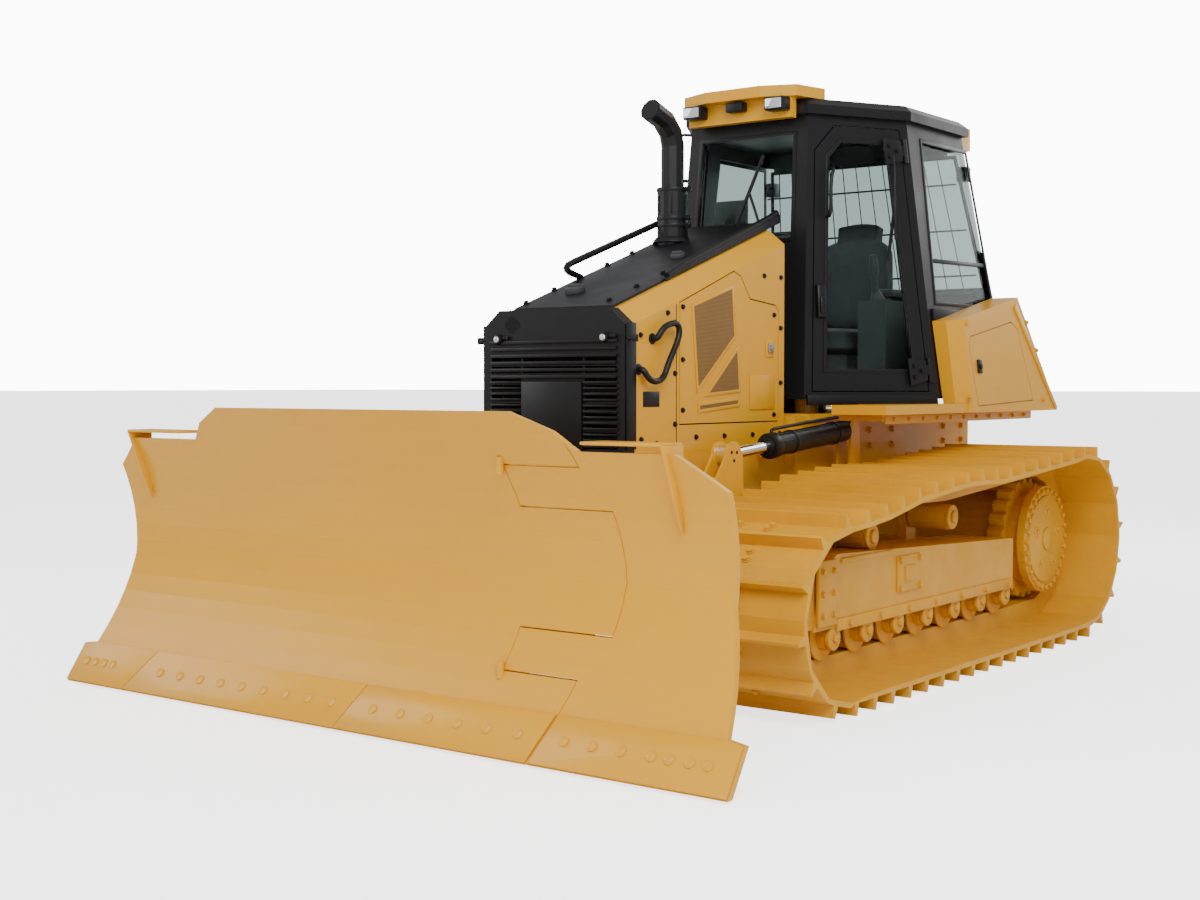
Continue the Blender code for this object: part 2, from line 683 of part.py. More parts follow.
door_outline = tall([(0.045, 0.035), (0.735, 0.035), (0.615, 1.360), (0.230, 1.360), (0.110, 1.230)])
side_window = tall([(0.070, 0.480), (0.810, 0.480), (0.640, 1.340), (0.080, 1.340)])
front_window = tall([(-0.300, 0.780), (0.300, 0.780), (0.285, 1.330), (-0.285, 1.330)])
rear_window = tall([(-0.680, 0.600), (0.680, 0.600), (0.580, 1.350), (-0.580, 1.350)])

left_door_hole = panel("door_hole", door_outline, door_wall, -0.10, 0.05)
right_door_hole = mirrored(left_door_hole, "door_hole_right")
left_side_hole = panel("side_hole", side_window, side_wall, -0.10, 0.05)
right_side_hole = mirrored(left_side_hole, "side_hole_right")
cut(cab_frame, hollow, left_door_hole, right_door_hole, left_side_hole, right_side_hole,
    panel("front_hole", front_window, front_wall, -0.12, 0.05),
    panel("rear_hole", rear_window, rear_wall, -0.12, 0.05))

# the door hangs on two pairs of knuckles along its rear edge
hinge_turn = math.atan2(door_outline[1][0] - door_outline[2][0], door_outline[2][1] - door_outline[1][1])
hinge_line = (door_wall @ Matrix.Translation((door_outline[1][0] + 0.012, door_outline[1][1], 0.008))
              @ Matrix.Rotation(hinge_turn, 4, "Z"))


def hinge_rod(name, low, high, radius=0.014):
    return rod(name, hinge_line @ Vector((0, low, 0)), hinge_line @ Vector((0, high, 0)), radius, GREY, 14)


def other_side(obj, side):
    """The piece itself, or its mirror image in its place."""
    if side > 0:
        return obj
    copy = mirrored(obj, obj.name + "_right")
    bpy.data.objects.remove(obj, do_unlink=True)
    return copy


cab_door_left = panel("cab_door_left", inset(door_outline, RUN), door_wall, -0.040, 0.0, GREY)
for low in (0.05, 1.16 * stretch):
    leaf = [(-0.130, low), (-0.020, low + 0.035), (0.0, low + 0.035), (0.0, low + 0.085),
            (-0.020, low + 0.085), (-0.130, low + 0.120)]
    pad = [(-0.125, low + 0.010), (-0.030, low + 0.030), (-0.030, low + 0.090), (-0.125, low + 0.110)]
    join(cab_door_left, panel("leaf", leaf, hinge_line, -0.003, 0.010, GREY),
         panel("leaf_pad", pad, hinge_line, -0.014, 0.0, GREY),
         hinge_rod("door_knuckle", low + 0.035, low + 0.085))
    for side in (-1, 1):
        for start in (low, low + 0.085 + GAP):
            join(cab_frame, other_side(hinge_rod("frame_knuckle", start, start + 0.035 - GAP), side))
        cut(cab_frame, other_side(hinge_rod("knuckle_room", low + 0.035 - GAP / 2, low + 0.085 + GAP / 2, 0.019),
                                  side))
door_pane = inset(door_outline, 0.075)
door_pane[0] = (door_pane[0][0], 0.140)
door_pane[1] = (door_pane[1][0], 0.140)
cut(cab_door_left, panel("pane_hole", door_pane, door_wall, -0.06, 0.02))
door_glass_left = panel("door_glass_left", inset(door_pane, GAP), door_wall, -0.026, -0.026 + GLASS_T, GLASS)
cab_door_right = mirrored(cab_door_left, "cab_door_right")
door_glass_right = mirrored(door_glass_left, "door_glass_right")

windshield = panel("windshield", inset(front_window, GAP), front_wall, -0.020, -0.020 + GLASS_T, GLASS)
rear_glass = panel("rear_glass", inset(rear_window, GAP), rear_wall, -0.020, -0.020 + GLASS_T, GLASS)
quarter_glass_left = panel("quarter_glass_left", inset(side_window, GAP), side_wall,
                           -0.020, -0.020 + GLASS_T, GLASS)
quarter_glass_right = mirrored(quarter_glass_left, "quarter_glass_right")

roof_low = shrink(lean(CAB_Z1), -0.030)
roof_high = shrink(lean(CAB_Z1), 0.010)
cab_roof = loft("cab_roof", [ring(roof_low, CAB_Z1 + GAP), ring(roof_low, CAB_Z1 + 0.045),
                             ring(roof_high, CAB_Z1 + ROOF_T)], GREY)

visor_y = roof_low[0][1]
visor = [(-0.375, visor_y + 0.14), (-0.330, visor_y - 0.06), (-0.16, visor_y - 0.13),
         (0.16, visor_y - 0.13), (0.330, visor_y - 0.06), (0.375, visor_y + 0.14)]
roof_visor = plate_z("roof_visor", visor, CAB_Z1 + ROOF_T + GAP, CAB_Z1 + ROOF_T + 0.055)
skirt = plate_y("visor_skirt", [(-0.30, CAB_Z1 - 0.02), (0.30, CAB_Z1 - 0.02), (0.30, CAB_Z1 + ROOF_T + 0.01),
                                (-0.30, CAB_Z1 + ROOF_T + 0.01)], visor_y - 0.060, visor_y - 0.012)
join(roof_visor, skirt)

rear_y = roof_low[2][1]
rear_lamp_housing = box("rear_lamp_housing", (-0.61, rear_y + GAP, CAB_Z1 - 0.06),
                        (0.61, rear_y + 0.11, CAB_Z1 + 0.060))

# ------------------------------------------------------------------ cab inside
floor_z = CAB_Z0 + 0.03 + GAP
cab_interior = box("cab_interior", (-0.62, 1.95, floor_z), (0.62, 2.60, floor_z + 0.02), PLASTIC)
inner = [box("pedestal", (-0.20, 2.05, floor_z + 0.01), (0.20, 2.45, floor_z + 0.20), PLASTIC)]
for side in (-1, 1):
    low, high = sorted((side * 0.30, side * 0.46))
    inner.append(box("console", (low, 1.98, floor_z + 0.01), (high, 2.50, floor_z + 0.48), PLASTIC))
    inner.append(rod("lever", (side * 0.38, 2.04, floor_z + 0.46), (side * 0.38, 2.00, floor_z + 0.62),
                     0.018, PLASTIC, 10))
join(cab_interior, *inner)
seat_z = floor_z + 0.20 + GAP
seat_side = [(1.98, seat_z), (2.50, seat_z), (2.62, seat_z + 0.70), (2.60, seat_z + 0.76),
             (2.53, seat_z + 0.74), (2.40, seat_z + 0.16), (2.02, seat_z + 0.15), (1.97, seat_z + 0.10)]
seat = plate_x("seat", seat_side, -0.26, 0.26, CLOTH)

# ------------------------------------------------------------------ rear boxes
def make_rear_box(name):
    """Side box behind the cab with its foot plate."""
    low = [(BOX_IN, 1.985), (BOX_HALF - 0.07, 1.985), (BOX_HALF, 2.040), (BOX_HALF, 3.150), (BOX_IN, 3.150)]
    top = [(BOX_IN, 1.930), (BOX_HALF - 0.13, 1.930), (BOX_HALF - 0.06, 1.985), (BOX_HALF - 0.06, 2.700),
           (BOX_IN, 2.700)]
    sections = [[(x, y, BOX_Z0) for x, y in low], [(x, y, BOX_Z1) for x, y in top]]
    return loft(name, sections)


rear_box_left = make_rear_box("rear_box_left")
cab_space = loft("cab_space", [ring(shrink(lean(1.10), -0.006), 1.10), ring(shrink(lean(1.90), -0.006), 1.90)])
foot = box("foot_plate", (CASE_HALF + 0.02, 1.12, BOX_Z0), (BOX_HALF - 0.02, 2.05, BOX_Z0 + 0.045))
join(rear_box_left, foot)
above_box = plate_x("above_box", [(1.70, 1.565), (2.65, 1.750), (3.30, 1.875), (3.30, 2.20), (1.70, 2.20)],
                    0.30, 1.20)
cut(rear_box_left, cab_space, barrel_room(1), above_box)
rear_box_right = mirrored(rear_box_left, "rear_box_right")

box_lean = math.atan2(0.06, BOX_Z1 - BOX_Z0)
box_wall = Matrix.Identity(4)
box_v = Vector((-math.sin(box_lean), 0, math.cos(box_lean)))
for column, axis in enumerate((Vector((0, 1, 0)), box_v, Vector((0, 1, 0)).cross(box_v))):
    box_wall.col[column][:3] = axis
box_wall.translation = (BOX_HALF, 0, BOX_Z0)
box_door_outline = [(2.10, 0.030), (2.82, 0.055), (2.68, 0.440), (2.60, 0.480), (2.07, 0.390), (2.04, 0.340)]
pocket = panel("box_pocket", box_door_outline, box_wall, -0.012 - GAP, 0.05)
cut(rear_box_left, pocket)
box_door_left = panel("box_door_left", inset(box_door_outline, RUN), box_wall, -0.012, 0.0)

# ------------------------------------------------------------- blade frame
c_frame = None
arms = []
for side in (-1, 1):
    x0, x1 = sorted((side * (ARM_X - ARM_W / 2), side * (ARM_X + ARM_W / 2)))
    py, pz = ARM_PIVOT
    arm = circle(py, pz, 0.095, 10, -math.pi / 2, math.pi / 2)
    arm += [(0.42, pz + 0.085), (0.40, 0.98)]
    arm += circle(LIFT_PIN[0], LIFT_PIN[1], 0.060, 8, 0.2, math.pi)
    arm += [(0.05, 0.70), (-0.45, 0.53), (-0.62, 0.52), (-0.62, 0.36), (-0.40, 0.335)]
    arms.append(plate_x("arm", arm, x0, x1))
cross = box("cross", (-ARM_X - ARM_W / 2, -0.74, 0.365), (ARM_X + ARM_W / 2, -0.56, 0.515))
nose = [(-0.30, -0.70), (-0.10, ANGLE_Y), (0.10, ANGLE_Y), (0.30, -0.70)]
c_frame = cross
c_frame.name = "c_frame"
tops = []
for z in (0.265, 0.595):
    tops.append(plate_z("nose_plate", nose, z, z + 0.040))
    tops.append(rod("nose_end", (0, ANGLE_Y, z), (0, ANGLE_Y, z + 0.040), 0.105, YELLOW, 24))
tops.append(box("nose_web", (-0.29, -0.76, 0.28), (0.29, -0.70, 0.62)))
join(c_frame, *arms, *tops)
for side in (-1, 1):
    slot_low, slot_high = sorted((side * (ARM_X - LIFT_EYE / 2 - GAP), side * (ARM_X + LIFT_EYE / 2 + GAP)))
    cut(c_frame, box("clevis", (slot_low, 0.20, 0.86), (slot_high, 0.50, 1.10)))
    foot_x = side * ANGLE_BASE[0]
    join(c_frame, rod("angle_boss", (foot_x, ANGLE_BASE[1], 0.60),
                      (foot_x, ANGLE_BASE[1], ANGLE_Z - ANGLE_EYE / 2 - GAP), 0.022, YELLOW, 16))

# swivel between the blade frame and the blade, with a yoke for the angle cylinders
SWIVEL_LOW = 0.305 + GAP
SWIVEL_HIGH = 0.595 - GAP
HUB_Y = -1.060
MAST_Y = TILT_Y - TILT_EYE / 2 - GAP
blade_swivel = rod("blade_swivel", (0, ANGLE_Y, SWIVEL_LOW), (0, ANGLE_Y, SWIVEL_HIGH), 0.085, YELLOW, 24)
shaft = rod("swivel_shaft", (0, ANGLE_Y, AXIS_Z), (0, HUB_Y, AXIS_Z), 0.080, YELLOW, 24)
mast = box("mast", (-0.060, HUB_Y, 0.400), (0.060, MAST_Y, TILT_BASE[1] + 0.050))
yoke = [(-0.665, HUB_Y), (0.665, HUB_Y), (0.665, -0.960), (0.575, -0.960), (0.520, MAST_Y + 0.004),
        (-0.520, MAST_Y + 0.004), (-0.575, -0.960), (-0.665, -0.960)]
join(blade_swivel, shaft, mast,
     plate_z("yoke_low", yoke, ANGLE_Z - ANGLE_EYE / 2 - GAP - 0.020, ANGLE_Z - ANGLE_EYE / 2 - GAP),
     plate_z("yoke_high", yoke, ANGLE_Z + ANGLE_EYE / 2 + GAP, ANGLE_Z + ANGLE_EYE / 2 + GAP + 0.020),
     box("yoke_web", (-0.42, HUB_Y, ANGLE_Z - 0.025), (0.42, MAST_Y, ANGLE_Z + 0.025)))

# ------------------------------------------------------------------------ blade
def profile(z):
    """Front face of the blade: a curve that leans back and curls forward again."""
    t = (z - 0.17) / (BLADE_TOP - 0.17)
    bottom = -1.346
    top = -1.401
    bulge = 0.186
    return bottom + (top - bottom) * t + 4 * bulge * t * (1 - t)


def blade_side(x0, x1, thick=PLATE_T):
    steps = 14
    front = []
    rear = []
    for i in range(steps + 1):
        z = 0.17 + (BLADE_TOP - 0.17) * i / steps
        front.append((profile(z), z))
        rear.append((profile(z) + thick, z))
    edge = [(BLADE_FRONT, EDGE_Z), (BLADE_FRONT + 0.030, EDGE_Z)]
    return edge + rear + front[::-1]


side_outline = blade_side(0, 0)
blade_front = plate_x("blade", side_outline, -BLADE_HALF, BLADE_HALF)
# outline of the whole blade seen from the front
face = [(-BLADE_HALF, -0.05), (BLADE_HALF, -0.05), (BLADE_HALF, 0.160), (1.630, 0.170), (1.555, 0.560),
        (1.570, 0.945), (1.400, BLADE_SIDE), (1.000, BLADE_SIDE), (0.920, 1.135), (0.715, BLADE_TOP + 0.02),
        (-0.715, BLADE_TOP + 0.02), (-0.920, 1.135), (-1.000, BLADE_SIDE), (-1.400, BLADE_SIDE),
        (-1.570, 0.945), (-1.555, 0.560), (-1.630, 0.170), (-BLADE_HALF, 0.160)]
face_cut = plate_y("face", face, -1.60, -1.00)
shape = blade_front.modifiers.new("outline", "BOOLEAN")
shape.operation = "INTERSECT"
shape.object = tool(face_cut)
shape.solver = "EXACT"

# the wing's outline seen from the front, with its two hinge tabs
wing_face = [(0.985, 1.30), (0.985, TAB_HIGH), (WING_X, TAB_HIGH), (WING_X, 0.860), (1.050, 0.860),
             (1.070, 0.620), (1.050, 0.430), (WING_X, 0.430), (WING_X, TAB_LOW), (0.980, TAB_LOW),
             (0.996, -0.10), (2.00, -0.10), (2.00, 1.30)]


def slanted(obj):
    """Leans the cutter's walls, so that the wing swings out past them."""
    shear = Matrix.Identity(4)
    shear[0][1] = WING_SLANT
    shear[0][3] = -WING_SLANT * -1.280
    obj.data.transform(shear)
    return obj


def knuckles(name, spans, radius=KNUCKLE_R):
    return [rod(name, (WING_X, WING_Y, low), (WING_X, WING_Y, high), radius, YELLOW, 16)
            for low, high in spans]


blade_wing = from_mesh("blade_wing", baked(blade_front), YELLOW)
wing_keep = slanted(plate_y("wing_keep", inset(wing_face, SEAM / 2), -1.70, -0.90))
keep = blade_wing.modifiers.new("wing", "BOOLEAN")
keep.operation = "INTERSECT"
keep.object = tool(wing_keep)
keep.solver = "EXACT"
low_end = TAB_LOW + SEAM / 2
high_end = TAB_HIGH - SEAM / 2
join(blade_wing, *knuckles("wing_knuckle", ((low_end, low_end + 0.030), (high_end - 0.030, high_end))))
cut(blade_front, slanted(plate_y("wing_gap", inset(wing_face, -SEAM / 2), -1.70, -0.90)))
join(blade_front, *knuckles("blade_knuckle", ((low_end - 0.030, low_end - GAP),
                                              (high_end + GAP, high_end + 0.030))))
cut(blade_front, *knuckles("knuckle_room", ((low_end - GAP, low_end + 0.036),
                                            (high_end - 0.036, high_end + GAP)), KNUCKLE_R + 0.006))

back = []
beam = [(profile(0.22) + 0.012, 0.22), (-1.080, 0.22), (-1.080, 0.36), (profile(0.36) + 0.012, 0.36),
        (profile(0.29) + 0.012, 0.29)]
for i in range(3):
    x = (-1.30, -0.75, 0.30)[i]
    rib = [(profile(z) + 0.012, z) for z in (0.20, 0.35, 0.50, 0.65, 0.80, 0.95, 1.03)]
    rib += [(-1.130, 1.03), (-1.070, 0.60), (-1.080, 0.20)]
    back.append(plate_x("rib", rib, x - 0.012, x + 0.012))
back.append(plate_x("low_beam", beam, -1.30, 0.60))
top_beam = [(profile(0.95) + 0.012, 0.93), (-1.120, 0.93), (-1.120, 1.02), (profile(1.02) + 0.012, 1.02)]
back.append(plate_x("top_beam", top_beam, -1.30, 0.60))
back.append(rod("blade_hub", (0, HUB_Y - GAP * 2, AXIS_Z), (0, profile(AXIS_Z + 0.13) + 0.012, AXIS_Z),
                0.130, YELLOW, 24))
pin_x, pin_z = TILT_PIN
back.append(box("tilt_bracket", (pin_x - 0.05, profile(pin_z - 0.055) + 0.012, pin_z - 0.055),
                (pin_x + 0.05, MAST_Y, pin_z + 0.05)))
web = [(profile(z) + 0.012, z) for z in (0.30, 0.45, 0.60, 0.75, 0.90, 1.00)]
web += [(-1.080, 1.00), (-1.080, 0.30)]
back.append(plate_x("tilt_web", web, pin_x - 0.012, pin_x + 0.012))
join(blade_front, *back)
blade = blade_front

# ------------------------------------------------------------------- cylinders
def cylinder(name, base, pin, radius, barrel_part, rod_out, side_axis, eye, clear):
    """Barrel with its base eye, and rod with its rod eye, as two objects."""
    a = Vector(base)
    b = Vector(pin)
    d = (b - a).normalized()
    s = Vector(side_axis)
    eye_r = 0.8 * eye
    length = (b - a).length
    end = a + d * (length * barrel_part)
    barrel = rod(name + "_barrel", a + d * clear, end, radius, BLACK, 20)
    neck = rod(name + "_neck", a + d * 0.5 * eye_r, a + d * (clear + 0.01), eye / 2 - GAP, BLACK, 16)
    base_eye = rod(name + "_base_eye", a - s * eye / 2, a + s * eye / 2, eye_r, BLACK, 16)
    bore = rod(name + "_bore", a + d * (clear + 0.03), end + d * 0.01, rod_out + GAP * 2, BLACK, 16)
    join(barrel, neck, base_eye)
    cut(barrel, bore)
    shaft = rod(name + "_rod", a + d * (length * 0.38), b - d * eye_r * 0.7, rod_out, STEEL, 16)
    rod_eye = rod(name + "_rod_eye", b - s * eye / 2, b + s * eye / 2, eye_r, STEEL, 16)
    join(shaft, rod_eye)
    return barrel, shaft


lift_barrel_left, lift_rod_left = cylinder("lift_left", (ARM_X, *LIFT_BASE), (ARM_X, *LIFT_PIN),
                                           LIFT_R, 0.68, ROD_R, (1, 0, 0), LIFT_EYE, 0.058)
lift_barrel_right = mirrored(lift_barrel_left, "lift_right_barrel")
lift_rod_right = mirrored(lift_rod_left, "lift_right_rod")
angle_barrel_left, angle_rod_left = cylinder("angle_left", (*ANGLE_BASE, ANGLE_Z), (*ANGLE_PIN, ANGLE_Z),
                                             0.038, 0.58, 0.020, (0, 0, 1), ANGLE_EYE, 0.050)
angle_barrel_right = mirrored(angle_barrel_left, "angle_right_barrel")
angle_rod_right = mirrored(angle_rod_left, "angle_right_rod")
tilt_barrel, tilt_rod = cylinder("tilt", (TILT_BASE[0], TILT_Y, TILT_BASE[1]),
                                 (TILT_PIN[0], TILT_Y, TILT_PIN[1]), 0.042, 0.66, 0.022, (0, 1, 0),
                                 TILT_EYE, 0.072)

# --------------------------------------------------------------- joint axes
door_axis = hinge_line @ Vector((0, 0, 0))
lift = pivot("lift_axis", (0, *ARM_PIVOT), c_frame)
swing = pivot("angle_axis", (0, ANGLE_Y, AXIS_Z), blade_swivel, parent=lift)
tilt = pivot("tilt_axis", (0, HUB_Y, AXIS_Z), blade, parent=swing)
pivot("wing_axis", (WING_X, WING_Y, AXIS_Z), blade_wing, parent=tilt)
for side, barrel, shaft in ((1, lift_barrel_left, lift_rod_left), (-1, lift_barrel_right, lift_rod_right)):
    pivot("lift_cylinder_axis", (side * ARM_X, *LIFT_BASE), barrel, shaft)
for side, barrel, shaft in ((1, angle_barrel_left, angle_rod_left),
                            (-1, angle_barrel_right, angle_rod_right)):
    pivot("angle_cylinder_axis", (side * ANGLE_BASE[0], ANGLE_BASE[1], ANGLE_Z), barrel, shaft, parent=lift)
pivot("tilt_cylinder_axis", (TILT_BASE[0], TILT_Y, TILT_BASE[1]), tilt_barrel, tilt_rod, parent=swing)
for side, door, pane in ((1, cab_door_left, door_glass_left), (-1, cab_door_right, door_glass_right)):
    pivot("cab_door_axis", (side * door_axis.x, door_axis.y, door_axis.z), door, pane)
for side, door in ((1, engine_door_left), (-1, engine_door_right)):
    pivot("engine_door_axis", (side * BODY_HALF, DOOR_Y0 + RUN, 1.30), door)
pivot("box_door_axis", box_wall @ Vector((*box_door_outline[1], 0)), box_door_left)

# vertices that the cuts leave on top of each other become one
for obj in MODEL.objects:
    if obj.type == "MESH":
        weld = obj.modifiers.new("weld", "WELD")
        weld.merge_threshold = 0.00003

# the object's box is centred on the origin
for obj in list(MODEL.objects) + list(CUTTERS.objects):
    if obj.parent is None:
        obj.location.y += Y_SHIFT
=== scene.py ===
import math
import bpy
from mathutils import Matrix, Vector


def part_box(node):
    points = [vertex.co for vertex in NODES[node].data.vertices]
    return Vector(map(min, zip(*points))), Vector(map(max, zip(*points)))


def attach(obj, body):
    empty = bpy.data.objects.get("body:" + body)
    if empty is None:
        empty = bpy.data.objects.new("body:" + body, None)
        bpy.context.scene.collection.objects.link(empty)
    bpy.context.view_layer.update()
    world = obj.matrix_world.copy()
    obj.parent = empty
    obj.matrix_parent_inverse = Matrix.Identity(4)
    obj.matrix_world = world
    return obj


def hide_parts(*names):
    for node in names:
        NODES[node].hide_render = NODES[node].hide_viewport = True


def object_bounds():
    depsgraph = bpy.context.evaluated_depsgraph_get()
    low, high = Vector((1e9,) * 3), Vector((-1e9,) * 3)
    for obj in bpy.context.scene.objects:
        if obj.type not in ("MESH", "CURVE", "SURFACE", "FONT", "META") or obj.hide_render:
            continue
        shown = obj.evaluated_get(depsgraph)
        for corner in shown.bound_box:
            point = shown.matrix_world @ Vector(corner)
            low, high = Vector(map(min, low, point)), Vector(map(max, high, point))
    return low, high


bl_info = {
    "name": "Bulldozer looks",
    "version": (1, 0, 0),
    "blender": (4, 5, 0),
    "location": "3D View > Sidebar > Bulldozer",
    "description": "Paint, fittings, glass, seat and stage for the crawler bulldozer",
    "category": "Add Mesh",
}

import bpy
from bpy.props import FloatProperty, FloatVectorProperty, IntProperty, PointerProperty
from mathutils import Matrix, Vector

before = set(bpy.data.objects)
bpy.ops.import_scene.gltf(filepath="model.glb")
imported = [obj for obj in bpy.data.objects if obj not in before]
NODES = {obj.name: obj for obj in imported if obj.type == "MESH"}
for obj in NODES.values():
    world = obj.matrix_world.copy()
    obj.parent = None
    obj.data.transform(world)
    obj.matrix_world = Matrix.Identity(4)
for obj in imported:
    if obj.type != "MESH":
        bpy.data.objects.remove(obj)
CAD_BOX = [list(corner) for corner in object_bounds()]

# The machine is laid out from its first flat track shoe; the frame's origin lies this far behind it.
BLADE_FRONT = -1.454
BACK = CAD_BOX[0][1] - BLADE_FRONT


def at(x, y, z):
    """A place given from the first flat shoe, in the frame's coordinates."""
    return Vector((x, y + BACK, z))


# ------------------------------------------------------------------- modelling
def activate(*objects):
    """Selects these objects alone, the first one active."""
    if bpy.context.object and bpy.context.object.mode != "OBJECT":
        bpy.ops.object.mode_set(mode="OBJECT")
    bpy.ops.object.select_all(action="DESELECT")
    for obj in objects:
        obj.select_set(True)
    bpy.context.view_layer.objects.active = objects[0]
    return objects[0]


def settle(obj):
    """Puts the object's place and turn into its mesh."""
    activate(obj)
    bpy.ops.object.transform_apply(location=True, rotation=True, scale=True)
    return obj


def begin(name, add, **where):
    """Adds a primitive by itself and names it."""
    bpy.ops.object.select_all(action="DESELECT")
    add(**where)
    obj = bpy.context.object
    obj.name = name
    return obj


def soften(obj, width, segments=2, angle=35.0):
    """Rounds the sharp edges and shades the rest smooth."""
    activate(obj)
    bevel = obj.modifiers.new("soft_edges", "BEVEL")
    bevel.width = width
    bevel.segments = segments
    bevel.limit_method = "ANGLE"
    bevel.angle_limit = math.radians(angle)
    bpy.ops.object.modifier_apply(modifier=bevel.name)
    bpy.ops.object.shade_smooth_by_angle(angle=math.radians(40))
    return obj


def block(name, low, high, bevel=0.003):
    """A box between two corners with rounded edges."""
    low = Vector(low)
    high = Vector(high)
    obj = begin(name, bpy.ops.mesh.primitive_cube_add, size=1.0, location=(low + high) / 2)
    obj.scale = high - low
    settle(obj)
    return soften(obj, bevel) if bevel else obj


def turned(name, start, end, radius, sides=24, bevel=0.002, tip=None):
    """A round piece from one point to another."""
    start = Vector(start)
    end = Vector(end)
    run = end - start
    obj = begin(name, bpy.ops.mesh.primitive_cone_add, vertices=sides, radius1=radius,
                radius2=radius if tip is None else tip, depth=run.length)
    turn = run.to_track_quat("Z", "Y").to_matrix().to_4x4()
    obj.matrix_world = Matrix.Translation((start + end) / 2) @ turn
    settle(obj)
    return soften(obj, bevel) if bevel else obj


def flat(name, outline, thick, frame_matrix=None, bevel=0.002, holes=()):
    """A plate cut to an outline: the outline is drawn as a flat curve, made a mesh and placed."""
    curve = bpy.data.curves.new(name, "CURVE")
    curve.dimensions = "2D"
    curve.fill_mode = "BOTH"
    curve.extrude = thick / 2
    for points in (outline, *holes):
        spline = curve.splines.new("POLY")
        spline.points.add(len(points) - 1)
        spline.use_cyclic_u = True
        for point, (u, v) in zip(spline.points, points):
            point.co = (u, v, 0, 1)
    obj = bpy.data.objects.new(name, curve)
    bpy.context.scene.collection.objects.link(obj)
    activate(obj)
    bpy.ops.object.convert(target="MESH")
    obj = bpy.context.object
    obj.matrix_world = (frame_matrix or Matrix.Identity(4)) @ Matrix.Translation((0, 0, thick / 2))
    settle(obj)
    bpy.ops.object.mode_set(mode="EDIT")
    bpy.ops.mesh.select_all(action="SELECT")
    bpy.ops.mesh.remove_doubles(threshold=0.00002)
    bpy.ops.mesh.normals_make_consistent(inside=False)
    bpy.ops.object.mode_set(mode="OBJECT")
    return soften(obj, bevel) if bevel else obj


def tube(name, points, radius, round_off=3, sides=3):
    """A bent bar or hose along the points, its corners rounded."""
    curve = bpy.data.curves.new(name, "CURVE")
    curve.dimensions = "3D"
    curve.bevel_depth = radius
    curve.bevel_resolution = sides
    curve.use_fill_caps = True
    smooth = [Vector(p) for p in points]
    for _ in range(round_off):
        finer = [smooth[0]]
        for a, b in zip(smooth, smooth[1:]):
            finer += [a.lerp(b, 0.25), a.lerp(b, 0.75)]
        smooth = finer + [smooth[-1]]
    spline = curve.splines.new("POLY")
    spline.points.add(len(smooth) - 1)
    for point, place in zip(spline.points, smooth):
        point.co = (*place, 1)
    obj = bpy.data.objects.new(name, curve)
    bpy.context.scene.collection.objects.link(obj)
    activate(obj)
    bpy.ops.object.convert(target="MESH")
    obj = bpy.context.object
    bpy.ops.object.mode_set(mode="EDIT")
    bpy.ops.mesh.select_all(action="SELECT")
    bpy.ops.mesh.remove_doubles(threshold=0.00002)
    bpy.ops.mesh.normals_make_consistent(inside=False)
    bpy.ops.object.mode_set(mode="OBJECT")
    bpy.ops.object.shade_smooth_by_angle(angle=math.radians(50))
    return obj


def copied(obj, matrix, name=None):
    """A copy with its own mesh, moved by the matrix."""
    copy = obj.copy()
    copy.data = obj.data.copy()
    copy.data.transform(matrix)
    if matrix.determinant() < 0:
        copy.data.flip_normals()
    copy.name = name or obj.name
    bpy.context.scene.collection.objects.link(copy)
    return copy


def mirrored(obj, name):
    """The same piece on the machine's other side."""
    return copied(obj, Matrix.Scale(-1, 4, (1, 0, 0)), name)


def joined(name, objects):
    """One piece made of several."""
    objects = list(objects)
    activate(*objects)
    if len(objects) > 1:
        bpy.ops.object.join()
    obj = bpy.context.object
    obj.name = name
    return obj


def aimed(place, normal, turn=0.0):
    """A frame at a place with its Z along the normal."""
    quat = Vector(normal).to_track_quat("Z", "Y")
    return Matrix.Translation(Vector(place)) @ quat.to_matrix().to_4x4() @ Matrix.Rotation(turn, 4, "Z")


def plane_frame(origin, along, up):
    """A frame whose X runs along, whose Y runs up and whose Z stands out of the plane."""
    u = Vector(along).normalized()
    n = u.cross(Vector(up)).normalized()
    v = n.cross(u)
    matrix = Matrix.Identity(4)
    for column, axis in enumerate((u, v, n)):
        matrix.col[column][:3] = axis
    matrix.translation = Vector(origin)
    return matrix


def hex_bolt(size):
    """A bolt head on its washer, standing on the origin."""
    head = begin("bolt_head", bpy.ops.mesh.primitive_cylinder_add, vertices=6, radius=size,
                 depth=size * 0.9, location=(0, 0, size * 0.75))
    washer = begin("bolt_washer", bpy.ops.mesh.primitive_cylinder_add, vertices=14, radius=size * 1.35,
                   depth=size * 0.35, location=(0, 0, size * 0.17))
    settle(head)
    activate(head)
    bpy.ops.object.mode_set(mode="EDIT")
    bpy.ops.mesh.select_all(action="SELECT")
    bpy.ops.mesh.bevel(offset=size * 0.10, segments=1, affect="EDGES")
    bpy.ops.object.mode_set(mode="OBJECT")
    settle(washer)
    return joined("bolt", [head, washer])


def round_bolt(size):
    """A flush plough bolt: a low round head with a dished rim."""
    obj = begin("plough_bolt", bpy.ops.mesh.primitive_cylinder_add, vertices=20, radius=size,
                depth=0.006, location=(0, 0, 0.002))
    settle(obj)
    bpy.ops.object.mode_set(mode="EDIT")
    bpy.ops.mesh.select_mode(type="FACE")
    bpy.ops.mesh.select_all(action="DESELECT")
    bpy.ops.object.mode_set(mode="OBJECT")
    for face in obj.data.polygons:
        face.select = face.normal.z > 0.9
    bpy.ops.object.mode_set(mode="EDIT")
    bpy.ops.mesh.inset(thickness=size * 0.18, depth=0.0)
    bpy.ops.mesh.inset(thickness=size * 0.08, depth=-0.002)
    bpy.ops.object.mode_set(mode="OBJECT")
    return soften(obj, 0.0008, 1)


